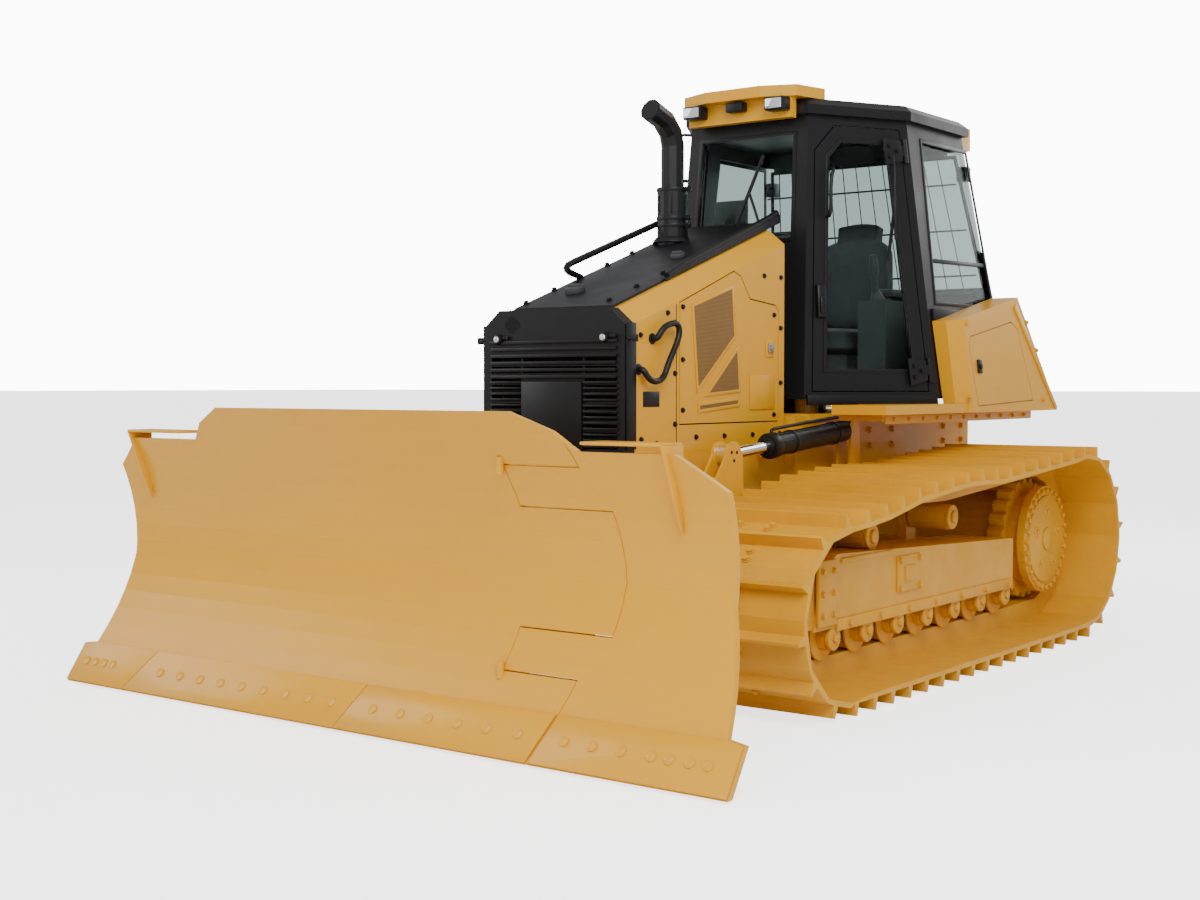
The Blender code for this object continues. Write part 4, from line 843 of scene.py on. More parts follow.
class BULLDOZER_OT_hood(bpy.types.Operator):
    """Adds the hood's mesh vents, latch, handle, bolts, filler cap and small plate"""
    bl_idname = "bulldozer.hood"
    bl_label = "Hood fittings"

    def execute(self, context):
        for side, name in ((1, "left"), (-1, "right")):
            skin = plane_frame(at(side * BODY_HALF, 0, 0), (0, 1, 0) if side > 0 else (0, -1, 0), (0, 0, 1))

            def drawn(points, lift=0.0):
                return [(side * y, z) for y, z in points][::side]

            vents = ([(0.300, 1.640), (0.625, 1.735), (0.648, 1.510), (0.340, 1.265)],
                     [(0.670, 1.460), (0.690, 1.262), (0.410, 1.245)],
                     [(0.350, 1.205), (0.680, 1.228), (0.682, 1.196), (0.352, 1.172)])
            made = []
            rims = []
            for vent in vents:
                points = drawn(vent)
                ccw = sum(a[0] * b[1] - a[1] * b[0] for a, b in zip(points, points[1:] + points[:1])) > 0
                points = points if ccw else points[::-1]
                made.append(flat("vent", inset(points, 0.006), 0.003, skin, 0.0))
                rims.append(flat("vent_rim", inset(points, -0.006), 0.005, skin, 0.0015,
                                 holes=[inset(points, 0.008)]))
            body = "engine_door_" + name
            placed(joined("vents_" + name, made), body, mesh_panel())
            pad = flat("door_pad", drawn([(0.775, 1.335), (0.995, 1.335), (0.995, 1.175), (0.775, 1.175)]),
                       0.006, skin, 0.0025)
            latch_plate = flat("latch_plate", drawn([(0.915, 1.505), (0.985, 1.505), (0.985, 1.420),
                                                    (0.915, 1.420)]),
                               0.005, skin, 0.002)
            placed(joined("door_panels_" + name, [pad, latch_plate, *rims]), body, yellow())
            x = side * (BODY_HALF + 0.004)
            latch = block("latch", at(x, 0.930, 1.440), at(x + side * 0.010, 0.968, 1.485), 0.004)
            lock = turned("lock", at(x, 0.950, 1.462), at(x + side * 0.016, 0.950, 1.462), 0.012, 18, 0.002)
            placed(joined("door_latch_" + name, [latch, lock]), body, steel())
            spots = [aimed(at(side * BODY_HALF, y, z), (side, 0, 0)) for y, z in (
                (0.225, 1.630), (0.225, 1.400), (0.225, 1.180), (0.990, 1.620), (0.990, 1.150))]
            placed(scattered("door_bolts_" + name, hex_bolt(settings().cap_bolt), spots), body, black())
            spots = [aimed(at(side * BODY_HALF, y, z), (side, 0, 0)) for y, z in (
                (-0.090, 1.500), (0.110, 1.600), (0.165, 1.560), (0.165, 1.340), (0.165, 1.120), (-0.085,
                                                        1.060),
                (0.030, 1.040), (0.330, 1.060), (0.560, 1.060), (0.800, 1.060), (1.045, 1.060), (1.050,
                                                        1.300),
                (1.050, 1.560), (1.050, 1.800), (0.900, 1.800))]
            placed(scattered("hood_bolts_" + name, hex_bolt(settings().cap_bolt), spots), "tractor",
                   black())
            x = side * (BODY_HALF + 0.040)
            run = [(-0.006, 1.486), (0.020, 1.530), (0.064, 1.549), (0.118, 1.557), (0.146, 1.532),
                   (0.134, 1.482),
                   (0.064, 1.389), (0.024, 1.316), (-0.045, 1.300), (-0.092, 1.322), (-0.106, 1.355)]
            foot = [at(side * 0.386, *run[0]), at(x - side * 0.012, *run[0])]
            end = [at(x - side * 0.012, *run[-1]), at(side * 0.386, *run[-1])]
            handle = tube("grab_handle", foot + [at(x, *place) for place in run[1:-1]] + end, 0.0135, 2)
            feet = [turned("handle_foot", at(side * BODY_HALF, y, z), at(side * (BODY_HALF + 0.006), y, z),
                           0.024, 20, 0.002)
                    for y, z in (run[0], run[-1])]
            placed(joined("grab_handle_" + name, [handle, *feet]), "tractor", black())
            if side > 0:
                plate = flat("blank_plate", drawn([(-0.070, 1.262), (0.048, 1.262), (0.048, 1.197),
                                                   (-0.070, 1.197)]),
                             0.003, skin, 0.001)
                placed(plate, "tractor", dark())
            # A thin near-black strip of painted shade in the gap between two side panels.
            seam = flat("panel_seam", drawn([(0.176, 1.640), (0.180, 1.640), (0.180, 1.010), (0.176, 1.010)]),
                        0.0012, skin, 0.0)
            placed(seam, "tractor", dark_gap())
            seam.name = "panel_seam_" + name
        slope = math.atan2(HOOD_Z1 - HOOD_Z0, HOOD_REAR - HOOD_FRONT)
        up = (0, -math.sin(slope), math.cos(slope))
        top = []
        for y in (-0.06, 0.14, 0.34, 0.54, 0.74, 0.94):
            for x in (-0.262, 0.200):
                top.append(aimed(at(x, y, hood_z(y) + SHOULDER_H + 0.0125), up))
        bolts = scattered("hood_top_bolts", hex_bolt(0.011), top)
        placed(bolts, "tractor", black())
        caps = []
        for x, y, radius, height in ((-0.11, 0.10, 0.045, 0.030), (0.09, 0.62, 0.035, 0.022)):
            z = hood_z(y) + SHOULDER_H + 0.010
            foot = at(x, y, z)
            top_end = foot + Vector(up) * height
            caps.append(turned("filler_cap", foot, top_end, radius, 28, 0.005))
            caps.append(block("cap_grip", top_end - Vector((radius * 0.8, 0.008, 0.002)),
                              top_end + Vector((radius * 0.8, 0.008, 0.010)), 0.003))
        placed(joined("filler_caps", caps), "tractor", moulded())
        crest = []
        for y, rise in ((0.27, 0.020), (0.44, 0.038), (1.12, 0.046), (1.20, 0.056)):
            crest.append(at(0.270, y, hood_z(y) + SHOULDER_H + rise))
        placed(tube("hood_crest", crest, 0.016, 1), "tractor", black())
        return {"FINISHED"}


class BULLDOZER_OT_mask(bpy.types.Operator):
    """Adds the grille louvres, plate, lamps and horn holes of the front mask, with painted shade for the core
    behind the louvres and in the horn holes
    """
    bl_idname = "bulldozer.mask"
    bl_label = "Front mask"

    def execute(self, context):
        louvre = flat("louvre", [(0.0, 0.0), (0.034, -0.016), (0.036, -0.012), (0.002, 0.006)], 0.176,
                      plane_frame((0, 0, 0), (0, 1, 0), (0, 0, 1)), 0.0)
        spots = []
        for side in (-1, 1):
            x = 0.172 if side > 0 else -0.348
            spots += [Matrix.Translation(at(x, MASK_Y + 0.004, 1.024 + 0.040 * i)) for i in range(10)]
        slats = [scattered("side_louvres", louvre, spots)]
        for i in range(5):
            z = 1.318 + 0.030 * i
            slats.append(block("top_slat", at(-0.345, MASK_Y - 0.012, z),
                               at(0.345, MASK_Y + 0.002, z + 0.014), 0.003))
        for i in range(12):
            z = 1.026 + 0.0245 * i
            for x0, x1 in ((-0.350, -0.170), (0.170, 0.350)):
                slats.append(block("side_slat", at(x0, MASK_Y - 0.010, z),
                                   at(x1, MASK_Y + 0.002, z + 0.010), 0.003))
        placed(joined("mask_louvres", slats), "tractor", dark())
        plate = block("mask_plate", at(-0.165, MASK_Y - 0.016, 1.005), at(0.165, MASK_Y + 0.002, 1.305),
                      0.006)
        brow = block("mask_brow", at(-0.350, MASK_Y - 0.010, 1.468), at(0.350, MASK_Y + 0.002, 1.482), 0.003)
        placed(joined("mask_plate", [plate, brow]), "tractor", dark())
        # A near-black sheet of painted shade behind the louvres, where the radiator core sits.
        core = block("radiator_core_shade", at(-0.340, HOOD_FRONT + 0.004, 1.005),
                     at(0.340, HOOD_FRONT + 0.016, 1.500), 0.0)
        placed(core, "tractor", dark_gap())
        # Near-black dots of painted shade for the holes of the horn grille.
        dots = []
        for row in range(-4, 5):
            for column in range(-4, 5):
                if row * row + column * column < 18:
                    dots.append(Matrix.Translation(at(-0.227 + column * 0.0095, MASK_Y - 0.0008,
                                                      1.552 + row * 0.0082)))
        dot = turned("horn_hole", (0, 0, 0), (0, -0.0015, 0), 0.0032, 8, 0.0)
        placed(scattered("horn_holes", dot, dots), "tractor", dark_gap())
        lamps = []
        lenses = []
        for x in (-0.300, 0.285):
            z = 1.489
            lamps.append(turned("lamp_rim", at(x, MASK_Y + 0.002, z), at(x, MASK_Y - 0.022, z), 0.024, 24,
                                0.004, 0.021))
            lenses.append(turned("lamp_glass", at(x, MASK_Y - 0.018, z), at(x, MASK_Y - 0.027, z), 0.016,
                                 24, 0.003, 0.012))
            for step in (0.036, 0.054):
                spot = x + step
                lamps.append(turned("lamp_bolt", at(spot, MASK_Y, z + 0.006),
                                    at(spot, MASK_Y - 0.014, z + 0.006), 0.009, 6, 0.001))
        for side in (-1, 1):
            lamps.append(block("mask_hook", at(side * 0.385, MASK_Y + 0.004, 1.478),
                               at(side * 0.425, MASK_Y + 0.030, 1.490), 0.003))
            lamps.append(turned("hook_eye", at(side * 0.425, MASK_Y + 0.017, 1.470),
                                at(side * 0.425, MASK_Y + 0.017, 1.500),
                                0.014, 16, 0.002))
        placed(joined("mask_lamps", lamps), "tractor", black())
        placed(joined("mask_lenses", lenses), "tractor", lens())
        for side in (-1, 1):
            x0, x1 = sorted((side * 0.386, side * 0.398))
            flange = block("mask_flange", at(x0, MASK_Y + 0.004, 1.02), at(x1, HOOD_FRONT - 0.004, 1.55),
                           0.002)
            placed(flange, "tractor", dark())
            flange.name = "mask_flange_" + ("left" if side > 0 else "right")
        return {"FINISHED"}


class BULLDOZER_OT_exhaust(bpy.types.Operator):
    """Adds the stack's clamps, sleeve ribs, heat shield and a disc of painted shade in its mouth"""
    bl_idname = "bulldozer.exhaust"
    bl_label = "Exhaust stack"

    def execute(self, context):
        x = -0.170
        y = 0.950
        parts = []
        for z, radius in ((2.095, 0.079), (2.235, 0.079), (2.060, 0.078)):
            parts.append(turned("clamp", at(x, y, z), at(x, y, z + 0.018), radius, 32, 0.002))
            parts.append(block("clamp_ear", at(x + radius - 0.004, y - 0.012, z - 0.003),
                               at(x + radius + 0.024, y + 0.012, z + 0.021), 0.003))
            parts.append(turned("clamp_screw", at(x + radius + 0.012, y - 0.024, z + 0.009),
                                at(x + radius + 0.012, y + 0.024, z + 0.009), 0.005, 8, 0.001))
        for i in range(6):
            a = math.tau * i / 6
            parts.append(block("rib", at(x + 0.0745 * math.cos(a) - 0.004, y + 0.0745 * math.sin(a) - 0.004,
                                         2.125),
                               at(x + 0.0745 * math.cos(a) + 0.004, y + 0.0745 * math.sin(a) + 0.004,
                                  2.215), 0.002))
        skirt = turned("stack_skirt", at(x, y, hood_z(y) + SHOULDER_H + 0.002),
                       at(x, y, hood_z(y) + SHOULDER_H + 0.030),
                       0.100, 32, 0.004, 0.080)
        parts.append(skirt)
        placed(joined("stack_clamps", parts), "tractor", black())
        # A near-black disc of painted shade just inside the stack's mouth.
        mouth = at(x, y - 0.191, 2.6105)
        heading = Vector((0, -0.11, 0.035)).normalized()
        inside = turned("stack_mouth", mouth - heading * 0.004, mouth + heading * 0.0015, 0.049, 28, 0.0)
        placed(inside, "tractor", dark_gap())
        return {"FINISHED"}


class BULLDOZER_OT_cab(bpy.types.Operator):
    """Adds the cab's seals, handles, wipers, hinges' bolts, mirrors, lamps and sill"""
    bl_idname = "bulldozer.cab"
    bl_label = "Cab fittings"

    def execute(self, context):
        door = cab_wall(0, 1)
        side_wall = cab_wall(1, 2)
        front = plane_frame(at(0, CAB_LOW[0][1], CAB_Z0), (1, 0, 0),
                            (0, CAB_TOP[0][1] - CAB_LOW[0][1], CAB_Z1 - CAB_Z0))
        rear = plane_frame(at(0, CAB_LOW[2][1], CAB_Z0), (-1, 0, 0),
                           (0, CAB_TOP[2][1] - CAB_LOW[2][1], CAB_Z1 - CAB_Z0))
        pane = [list(p) for p in inset(DOOR, 0.075)]
        pane[0][1] = pane[1][1] = 0.140
        pane = [tuple(p) for p in pane]
        back = Matrix.Translation((0, 0, -0.004))
        door_parts = [seal("door_seal", inset(pane, -0.010), door @ back, 0.020, 0.008)]
        handle = tube("door_handle", [door @ Vector(p) for p in (
            (0.165, 0.900, 0.0), (0.165, 0.900, 0.045), (0.168, 1.080, 0.050), (0.195, 1.140,
                                                    0.045), (0.195, 1.140, 0.0))],
            0.009, 2)
        latch = flat("door_latch", [(0.085, 0.400), (0.135, 0.400), (0.135, 0.560), (0.085, 0.560)], 0.026,
                     door, 0.006)
        grip = flat("latch_grip", [(0.095, 0.420), (0.125, 0.420), (0.125, 0.500), (0.095, 0.500)], 0.036,
                    door, 0.004)
        door_parts += [handle, latch, grip]
        wiper = tube("door_wiper", [door @ Vector(p) for p in (
            (0.560, 1.250, 0.002), (0.560, 1.250, 0.026), (0.545, 0.900, 0.030), (0.560, 0.800,
                                                    0.010))], 0.006, 1)
        blade = flat("wiper_blade", [(0.515, 0.690), (0.530, 0.690), (0.600, 1.060), (0.585, 1.060)], 0.012,
                     door @ Matrix.Translation((0, 0, -0.016)), 0.002)
        motor = flat("wiper_motor", [(0.515, 1.215), (0.600, 1.215), (0.600, 1.300), (0.515, 1.300)], 0.022,
                     door, 0.006)
        door_parts += [wiper, blade, motor]
        fittings = joined("door_fittings_left", door_parts)
        placed(fittings, "cab_door_left", black())
        placed(mirrored(fittings, "door_fittings_right"), "cab_door_right", black())
        bolt = hex_bolt(0.010)
        spots = []
        turn = math.atan2(DOOR[1][0] - DOOR[2][0], DOOR[2][1] - DOOR[1][1])
        hinge = door @ Matrix.Translation((DOOR[1][0] + 0.012, DOOR[1][1], 0.008)) @ Matrix.Rotation(turn,
                                                4, "Z")
        plates = []
        for low in (0.05, 1.16):
            for u, v in ((-0.105, 0.032), (-0.105, 0.088), (-0.060, 0.060)):
                spots.append(hinge @ Matrix.Translation((u, low + v, 0.018)))
            plates.append(flat("hinge_plate", [(-0.135, low - 0.010), (-0.030, low + 0.010),
                                               (-0.030, low + 0.110),
                                               (-0.135, low + 0.130)], 0.008,
                               hinge @ Matrix.Translation((0, 0, 0.0104)), 0.002))
        bolts = joined("door_hinge_bolts_left", [scattered("hinge_bolts", bolt, spots), *plates])
        placed(bolts, "cab_door_left", black())
        placed(mirrored(bolts, "door_hinge_bolts_right"), "cab_door_right", black())

        shell = [seal("front_seal", FRONT_WINDOW, front @ back, 0.020, 0.008),
                 seal("rear_seal", REAR_WINDOW, rear @ back, 0.020, 0.008)]
        quarter = seal("quarter_seal", SIDE_WINDOW, side_wall @ back, 0.020, 0.008)
        bar = flat("quarter_bar", [(0.075, 0.700), (0.760, 0.712), (0.757, 0.734), (0.075, 0.722)], 0.010,
                   side_wall @ Matrix.Translation((0, 0, -0.012)), 0.003)
        sill = flat("sill_trim", [(0.020, 0.400), (0.900, 0.400), (0.885, 0.460), (0.020, 0.460)], 0.018,
                    side_wall, 0.005)
        foot = flat("door_sill", [(0.010, -0.030), (0.775, -0.030), (0.772, 0.022), (0.010, 0.022)], 0.020,
                    door, 0.005)
        right = [quarter, bar, sill, foot]
        shell += right + [mirrored(part, part.name + "_right") for part in right]
        wiper = tube("front_wiper", [front @ Vector(p) for p in (
            (0.16, 0.735, 0.0), (0.16, 0.735, 0.026), (0.10, 0.90, 0.028), (0.03, 1.040, 0.010))], 0.007, 1)
        blade = flat("front_wiper_blade", [(-0.065, 0.860), (-0.050, 0.850), (0.100, 1.220),
                                           (0.088, 1.228)], 0.012,
                     front @ Matrix.Translation((0, 0, -0.014)), 0.002)
        shell += [wiper, blade]
        placed(joined("cab_trim", shell), "tractor", black())

        mirrors = []
        for z0, z1 in ((2.45, 2.62), (2.14, 2.30)):
            x = -0.430
            arm = tube("mirror_arm", [at(-0.345, 1.405, z1 - 0.04), at(x + 0.02, 1.385, z1 - 0.03),
                                      at(x, 1.370, z1 - 0.05)],
                       0.008, 2)
            case = block("mirror_case", at(x - 0.050, 1.335, z0), at(x + 0.020, 1.375, z1 - 0.02), 0.012)
            mirrors += [arm, case]
        placed(joined("mirrors", mirrors), "tractor", moulded())

        low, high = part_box("roof_visor")
        front_y = low.y
        lamps = []
        lenses = []
        for x in (-0.24, 0.24):
            place = Vector((x, front_y + 0.030, high.z - 0.095))
            lamps.append(block("lamp_case", place - Vector((0.055, 0.030, 0.030)),
                               place + Vector((0.055, 0.045, 0.035)), 0.008))
            lenses.append(block("lamp_glass", place - Vector((0.045, 0.036, 0.022)),
                                place + Vector((0.045, -0.028, 0.027)), 0.004))
        sensor = block("roof_camera", Vector((-0.050, front_y + 0.016, high.z - 0.110)),
                       Vector((0.050, front_y + 0.070, high.z - 0.062)), 0.008)
        lamps.append(sensor)
        low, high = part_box("rear_lamp_housing")
        for x in (-0.46, 0.46):
            place = Vector((x, high.y + 0.004, (low.z + high.z) / 2))
            lamps.append(block("rear_lamp_case", place - Vector((0.055, 0.012, 0.040)),
                               place + Vector((0.055, 0.020, 0.040)), 0.008))
            lenses.append(block("rear_lamp_glass", place + Vector((-0.045, 0.016, -0.030)),
                                place + Vector((0.045, 0.026, 0.030)), 0.004))
        for side in (-1, 1):
            place = at(side * 0.600, 2.604, 2.43)
            lamps.append(block("marker_case", place - Vector((0.030, 0.030, 0.040)),
                               place + Vector((0.030, 0.040, 0.040)), 0.008))
        placed(joined("cab_lamps", lamps), "tractor", black())
        placed(joined("cab_lenses", lenses), "tractor", lens())

        bars = []
        for i in range(-6, 7):
            u = i * 0.096
            top = 1.335
            bars.append(tube("guard_bar", [rear @ Vector((u, 0.615, -0.055)),
                                           rear @ Vector((u * 0.856, top, -0.055))],
                             0.003, 0, 1))
        for v, half in ((0.70, 0.655), (0.95, 0.625), (1.20, 0.590)):
            bars.append(tube("guard_bar", [rear @ Vector((-half, v, -0.055)),
                                           rear @ Vector((half, v, -0.055))], 0.005, 0, 2))
        placed(joined("rear_guard", bars), "tractor", black())
        return {"FINISHED"}


def pillow(name, low, high, crown, levels=3):
    """A crowned cushion with its sides pulled in round its middle."""
    low = Vector(low)
    high = Vector(high)
    obj = begin(name, bpy.ops.mesh.primitive_cube_add, size=1.0, location=(0, 0, 0))
    bpy.ops.object.mode_set(mode="EDIT")
    bpy.ops.mesh.select_all(action="SELECT")
    bpy.ops.mesh.subdivide(number_cuts=4)
    bpy.ops.object.mode_set(mode="OBJECT")
    size = high - low
    for vertex in obj.data.vertices:
        x, y, z = (2 * c for c in vertex.co)
        lift = (1 - x * x) * (1 - y * y)
        pull = 1 - 0.05 * (1 - z * z) * 0.8
        vertex.co.x *= pull
        vertex.co.y *= pull
        vertex.co.z = z / 2 * (1 - crown + crown * lift)
        vertex.co = Vector((vertex.co.x * size.x, vertex.co.y * size.y, vertex.co.z * size.z))
    activate(obj)
    soft = obj.modifiers.new("soft", "SUBSURF")
    soft.levels = soft.render_levels = levels
    bpy.ops.object.modifier_apply(modifier=soft.name)
    bpy.ops.object.shade_smooth()
    obj.location = (low + high) / 2
    return obj


class BULLDOZER_OT_cabin(bpy.types.Operator):
    """Adds the padded seat, arm rests, levers, screen and floor mat inside the cab"""
    bl_idname = "bulldozer.cabin"
    bl_label = "Inside of the cab"

    def execute(self, context):
        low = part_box("seat")[0]
        base_z = low.z
        cushion = settle(pillow("seat_cushion", (-0.245, low.y + 0.006, base_z + 0.004),
                                (0.245, low.y + 0.475, base_z + 0.150), 0.25))
        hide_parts("seat")
        placed(cushion, "tractor", cloth())
        lean = math.atan2(0.12, 0.60)
        back = pillow("seat_back", (-0.235, -0.050, 0.0), (0.235, 0.050, 0.560), 0.22)
        for vertex in back.data.vertices:
            vertex.co.x *= 1.0 - 0.18 * max(0.0, vertex.co.z / 0.28)
        back.rotation_euler = (-lean, 0, 0)
        back.location = Vector((0, low.y + 0.520, base_z + 0.400))
        settle(back)
        placed(back, "tractor", cloth())
        head = pillow("head_rest", (-0.130, -0.040, 0.0), (0.130, 0.040, 0.150), 0.30)
        head.rotation_euler = (-lean, 0, 0)
        head.location = Vector((0, low.y + 0.590, base_z + 0.672))
        settle(head)
        placed(head, "tractor", cloth())
        parts = []
        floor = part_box("cab_interior")[0].z
        for side in (-1, 1):
            x = side * 0.38
            parts.append(block("arm_rest", at(x - 0.055, 2.10, floor + 0.500),
                               at(x + 0.055, 2.46, floor + 0.545), 0.016))
            grip = turned("lever_grip", at(x, 2.005, floor + 0.610), at(x, 1.990, floor + 0.720), 0.026, 20,
                          0.010, 0.020)
            parts.append(grip)
            parts.append(turned("lever_boot", at(x, 2.045, floor + 0.475), at(x, 2.030, floor + 0.530),
                                0.045, 24, 0.006, 0.022))
            for i in range(4):
                parts.append(block("switch", at(x - 0.040 + 0.022 * i, 2.075, floor + 0.482),
                                   at(x - 0.026 + 0.022 * i, 2.095, floor + 0.494), 0.002))
        parts.append(block("dash", at(-0.30, 1.330, floor + 0.02), at(0.30, 1.420, floor + 0.78), 0.020))
        parts.append(block("dash_top", at(-0.32, 1.350, floor + 0.76), at(0.32, 1.500, floor + 0.80), 0.014))
        parts.append(block("screen", at(-0.33, 1.560, floor + 0.86), at(-0.13, 1.590, floor + 1.00), 0.008))
        parts.append(tube("screen_stalk", [at(-0.23, 1.480, floor + 0.79), at(-0.23, 1.500, floor + 0.88),
                                           at(-0.23, 1.562, floor + 0.92)], 0.010, 1))
        for x in (-0.12, 0.12):
            parts.append(block("pedal", at(x - 0.045, 1.500, floor + 0.055),
                               at(x + 0.045, 1.520, floor + 0.170), 0.006))
            parts.append(tube("pedal_stalk", [at(x, 1.515, floor + 0.10), at(x, 1.440, floor + 0.14),
                                              at(x, 1.418, floor + 0.20)], 0.008, 1))
        placed(joined("cab_controls", parts), "tractor", moulded())
        mat = flat("floor_mat", [(-0.34, 1.44 + BACK), (0.34, 1.44 + BACK), (0.56, 1.90 + BACK),
                                 (-0.56, 1.90 + BACK)], 0.010,
                   Matrix.Translation((0, 0, floor + 0.001)), 0.003)
        placed(mat, "tractor", rubber())
        return {"FINISHED"}


class BULLDOZER_OT_rear(bpy.types.Operator):
    """Adds the side boxes' latches, bolts and rims, and the bolts on the case and deck"""
    bl_idname = "bulldozer.rear"
    bl_label = "Rear boxes and case"

    def execute(self, context):
        lean = math.atan2(0.06, BOX_Z1 - BOX_Z0)
        skin = plane_frame(at(BOX_HALF, 0, BOX_Z0), (0, 1, 0), (-math.sin(lean), 0, math.cos(lean)))
        latch = flat("box_latch", [(2.120, 0.200), (2.165, 0.200), (2.165, 0.270), (2.120, 0.270)], 0.010,
                     skin, 0.003)
        lock = turned("box_lock", skin @ Vector((2.142, 0.235, 0.008)),
                      skin @ Vector((2.142, 0.235, 0.018)), 0.014, 18, 0.002)
        placed(joined("box_latch", [latch, lock]), "box_door_left", black())
        for side, name in ((1, "left"), (-1, "right")):
            spots = [skin @ Matrix.Translation((u, v, 0.0)) for u, v in (
                (2.800, 0.480), (2.905, 0.330), (2.965, 0.200), (2.030, 0.455), (1.990, 0.080), (2.950,
                                                        0.060))]
            bolts = scattered("box_bolts", hex_bolt(0.011), spots)
            rim = flat("box_rim", [(3.140, 0.012), (3.105, 0.012), (2.640, 0.555), (2.675, 0.575)][::-1],
                       0.008,
                       skin, 0.002)
            strip = block("deck_strip", at(0.846, 1.22, 1.105), at(0.858, 2.95, 1.148), 0.003)
            strip_bolts = scattered("strip_bolts", hex_bolt(0.009), [
                aimed(at(0.858, 1.30 + 0.155 * i, 1.127), (1, 0, 0)) for i in range(11)])
            group = joined("box_trim_" + name, [rim, strip, strip_bolts, bolts])
            if side < 0:
                group.data.transform(Matrix.Scale(-1, 4, (1, 0, 0)))
                group.data.flip_normals()
            placed(group, "tractor", yellow())
        case = []
        for y in (1.60, 1.85, 2.10, 2.72, 2.95):
            for side in (-1, 1):
                case.append(aimed(at(side * 0.440, y, 1.06), (side, 0, 0)))
                case.append(aimed(at(side * 0.440, y, 0.98), (side, 0, 0)))
        for x in (-0.36, -0.18, 0.0, 0.18, 0.36):
            for z in (0.92, 1.08):
                case.append(aimed(at(x, 3.050, z), (0, 1, 0)))
        placed(scattered("case_bolts", hex_bolt(0.014), case), "tractor", yellow())
        pin = [turned("hitch_pin", at(0, 3.320, 0.44), at(0, 3.320, 0.62), 0.026, 24, 0.004),
               turned("hitch_head", at(0, 3.320, 0.615), at(0, 3.320, 0.640), 0.042, 24, 0.005)]
        placed(joined("hitch_pin", pin), "tractor", steel())
        return {"FINISHED"}


class BULLDOZER_OT_cylinders(bpy.types.Operator):
    """Adds the cylinders' glands, caps, clamps, hard lines and hoses"""
    bl_idname = "bulldozer.cylinders"
    bl_label = "Cylinders and lines"

    def execute(self, context):
        base = at(ARM_X, *LIFT_BASE)
        pin = at(ARM_X, *LIFT_PIN)
        run = (pin - base).normalized()
        length = (pin - base).length
        end = base + run * (length * 0.68)
        parts = [turned("gland", end - run * 0.050, end + run * 0.004, 0.060, 32, 0.004),
                 turned("gland_ring", end + run * 0.002, end + run * 0.016, 0.042, 28, 0.003)]
        up = Vector((1, 0, 0)).cross(run).normalized()
        up = up if up.z > 0 else -up
        for d in (0.16, 0.56):
            place = base + run * d
            parts.append(turned("band", place - run * 0.012, place + run * 0.012, 0.056, 28, 0.002))
        side = Vector((1, 0, 0))
        ports = [base + run * 0.10, end - run * 0.030]
        parts.append(tube("hard_line", [ports[1] + up * 0.050, ports[1] + up * 0.074,
                                        ports[1] - run * 0.08 + up * 0.074,
                                        ports[0] + run * 0.06 + up * 0.074, ports[0] + up * 0.070], 0.008, 2))
        group = joined("lift_cylinder_fittings_left", parts)
        placed(group, "lift_left_barrel", black())
        placed(mirrored(group, "lift_cylinder_fittings_right"), "lift_right_barrel", black())
        eye = [turned("eye_cap", pin + side * 0.0282, pin + side * 0.034, 0.040, 28, 0.003)]
        eye.append(scattered("eye_bolts", hex_bolt(0.008), [
            aimed(pin + side * 0.034 + Vector((0, 0.024 * math.cos(a), 0.024 * math.sin(a))), side)
            for a in (math.tau * i / 3 + 0.5 for i in range(3))]))
        group = joined("lift_eye_left", eye)
        placed(group, "lift_left_rod", black())
        placed(mirrored(group, "lift_eye_right"), "lift_right_rod", black())
        for x_side, name in ((1, "left"), (-1, "right")):
            line = tube("hose", [at(x_side * 0.442, 1.150, 1.075), at(x_side * 0.456, 1.120, 1.060),
                                 at(x_side * 0.452, 1.000, 1.040),
                                 at(x_side * 0.440, 0.900, 0.980), at(x_side * 0.405, 0.840,
                                                                      0.960)], 0.013, 3)
            nuts = [turned("hose_nut", at(x_side * 0.402, 0.835, 0.958), at(x_side * 0.418, 0.862, 0.966),
                           0.018, 6, 0.002)]
            placed(joined("yellow_hose_" + name, [line, *nuts]), "tractor", yellow())
        return {"FINISHED"}


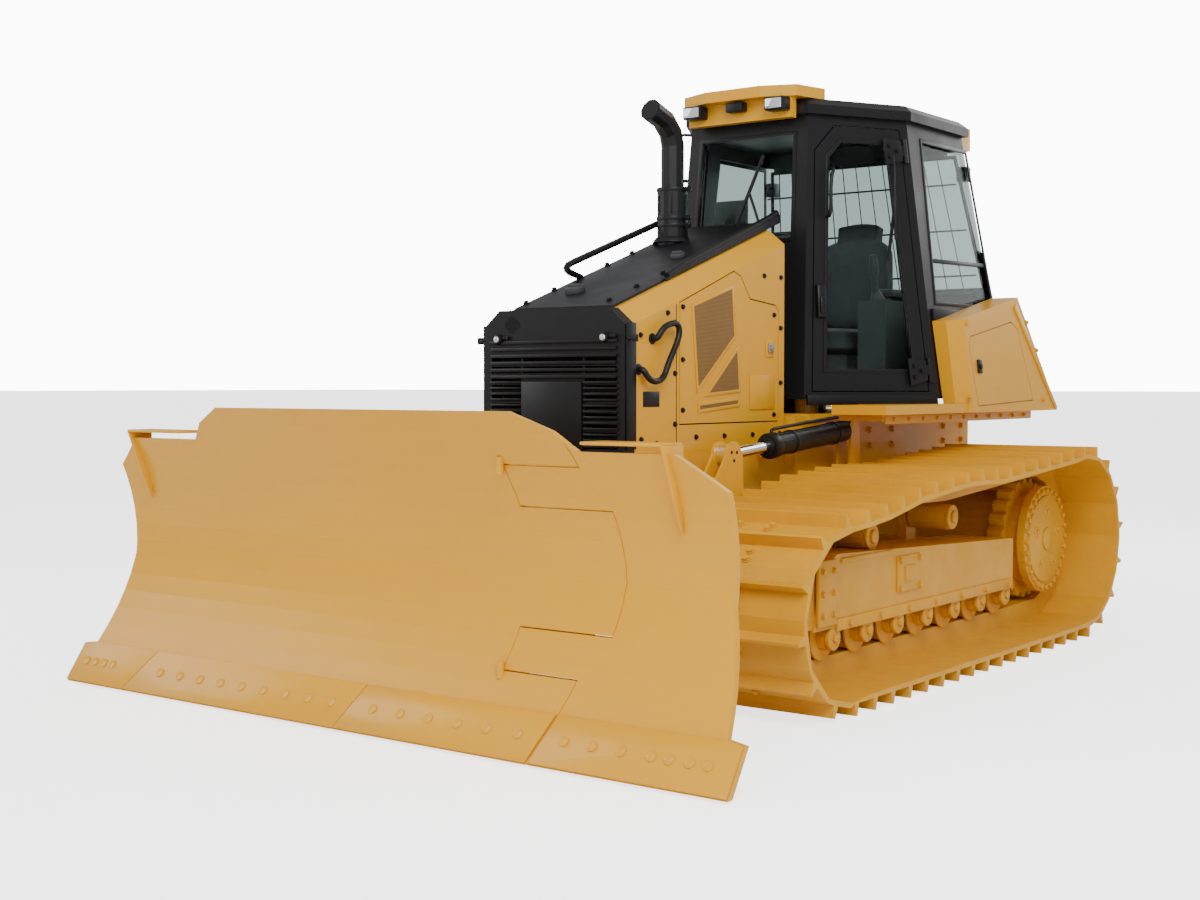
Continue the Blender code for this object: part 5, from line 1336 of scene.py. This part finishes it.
class BULLDOZER_OT_stage(bpy.types.Operator):
    """Adds the pale floor, the soft lamps and the camera"""
    bl_idname = "bulldozer.stage"
    bl_label = "Stage"

    def execute(self, context):
        ground = begin("floor", bpy.ops.mesh.primitive_plane_add, size=600.0,
                       location=(0, 0, CAD_BOX[0][2] - 0.002))
        settle(ground)
        paper = finish("pale_floor", (0.93, 0.93, 0.93), 0.70, tone=0.01, tone_scale=0.5, grain=30.0,
                       bump=0.01)
        shader = paper.node_tree.nodes["Principled BSDF"]
        shader.inputs["Emission Color"].default_value = (1, 1, 1, 1)
        sight = paper.node_tree.nodes.new("ShaderNodeLightPath")
        glow = paper.node_tree.nodes.new("ShaderNodeMapRange")
        glow.inputs["To Min"].default_value = 0.06
        glow.inputs["To Max"].default_value = 2.4
        paper.node_tree.links.new(sight.outputs["Is Camera Ray"], glow.inputs["Value"])
        paper.node_tree.links.new(glow.outputs["Result"], shader.inputs["Emission Strength"])
        ground.data.materials.append(paper)
        world = bpy.data.worlds.new("studio")
        world.use_nodes = True
        sky = world.node_tree.nodes["Background"]
        sky.inputs["Color"].default_value = (0.97, 0.98, 1.0, 1)
        ray = world.node_tree.nodes.new("ShaderNodeLightPath")
        level = world.node_tree.nodes.new("ShaderNodeMapRange")
        level.inputs["To Min"].default_value = 0.62
        level.inputs["To Max"].default_value = 12.0
        world.node_tree.links.new(ray.outputs["Is Camera Ray"], level.inputs["Value"])
        world.node_tree.links.new(level.outputs["Result"], sky.inputs["Strength"])
        context.scene.world = world
        lamps = (("key", (5.5, -5.5, 6.5), 4.0, 620.0), ("fill", (-6.5, -4.0, 4.5), 5.0, 200.0),
                 ("rim", (2.0, 7.5, 5.0), 5.0, 240.0), ("front", (1.5, -9.0, 2.2), 5.0, 120.0),
                 ("cab", (0.0, 1.15, 2.50), 0.6, 9.0))
        for name, place, size, power in lamps:
            lamp = bpy.data.lights.new(name, "AREA")
            lamp.size = size
            lamp.energy = power
            obj = bpy.data.objects.new(name, lamp)
            obj.location = place
            obj.rotation_euler = (Vector((0, 0, 1.0)) - Vector(place)).to_track_quat("-Z", "Y").to_euler()
            obj.visible_camera = False
            obj.visible_transmission = obj.visible_glossy = name != "cab"
            context.scene.collection.objects.link(obj)
        camera = bpy.data.cameras.new("camera")
        camera.lens = 48.44
        camera.sensor_width = 36.0
        obj = bpy.data.objects.new("camera", camera)
        obj.location = at(4.361, -5.606, 1.2915)
        obj.rotation_euler = (math.radians(90 - 2.32), 0, math.radians(37.21))
        context.scene.collection.objects.link(obj)
        context.scene.camera = obj
        return {"FINISHED"}


class BULLDOZER_PT_panel(bpy.types.Panel):
    """Lists the settings and the pieces"""
    bl_label = "Bulldozer"
    bl_idname = "BULLDOZER_PT_panel"
    bl_space_type = "VIEW_3D"
    bl_region_type = "UI"
    bl_category = "Bulldozer"

    def draw(self, context):
        for name in BulldozerSettings.__annotations__:
            self.layout.prop(context.scene.bulldozer, name)
        for operator in OPERATORS:
            self.layout.operator(operator.bl_idname)


OPERATORS = (BULLDOZER_OT_stage, BULLDOZER_OT_paint, BULLDOZER_OT_blade, BULLDOZER_OT_tracks,
             BULLDOZER_OT_hood, BULLDOZER_OT_mask, BULLDOZER_OT_exhaust, BULLDOZER_OT_cab, BULLDOZER_OT_cabin,
             BULLDOZER_OT_rear, BULLDOZER_OT_cylinders)
CLASSES = (BulldozerSettings, *OPERATORS, BULLDOZER_PT_panel)


def register():
    for cls in CLASSES:
        bpy.utils.register_class(cls)
    bpy.types.Scene.bulldozer = PointerProperty(type=BulldozerSettings)


def unregister():
    del bpy.types.Scene.bulldozer
    for cls in reversed(CLASSES):
        bpy.utils.unregister_class(cls)


def main():
    register()
    for operator in OPERATORS:
        group, call = operator.bl_idname.split(".")
        getattr(getattr(bpy.ops, group), call)()


if __name__ == "__main__":
    main()
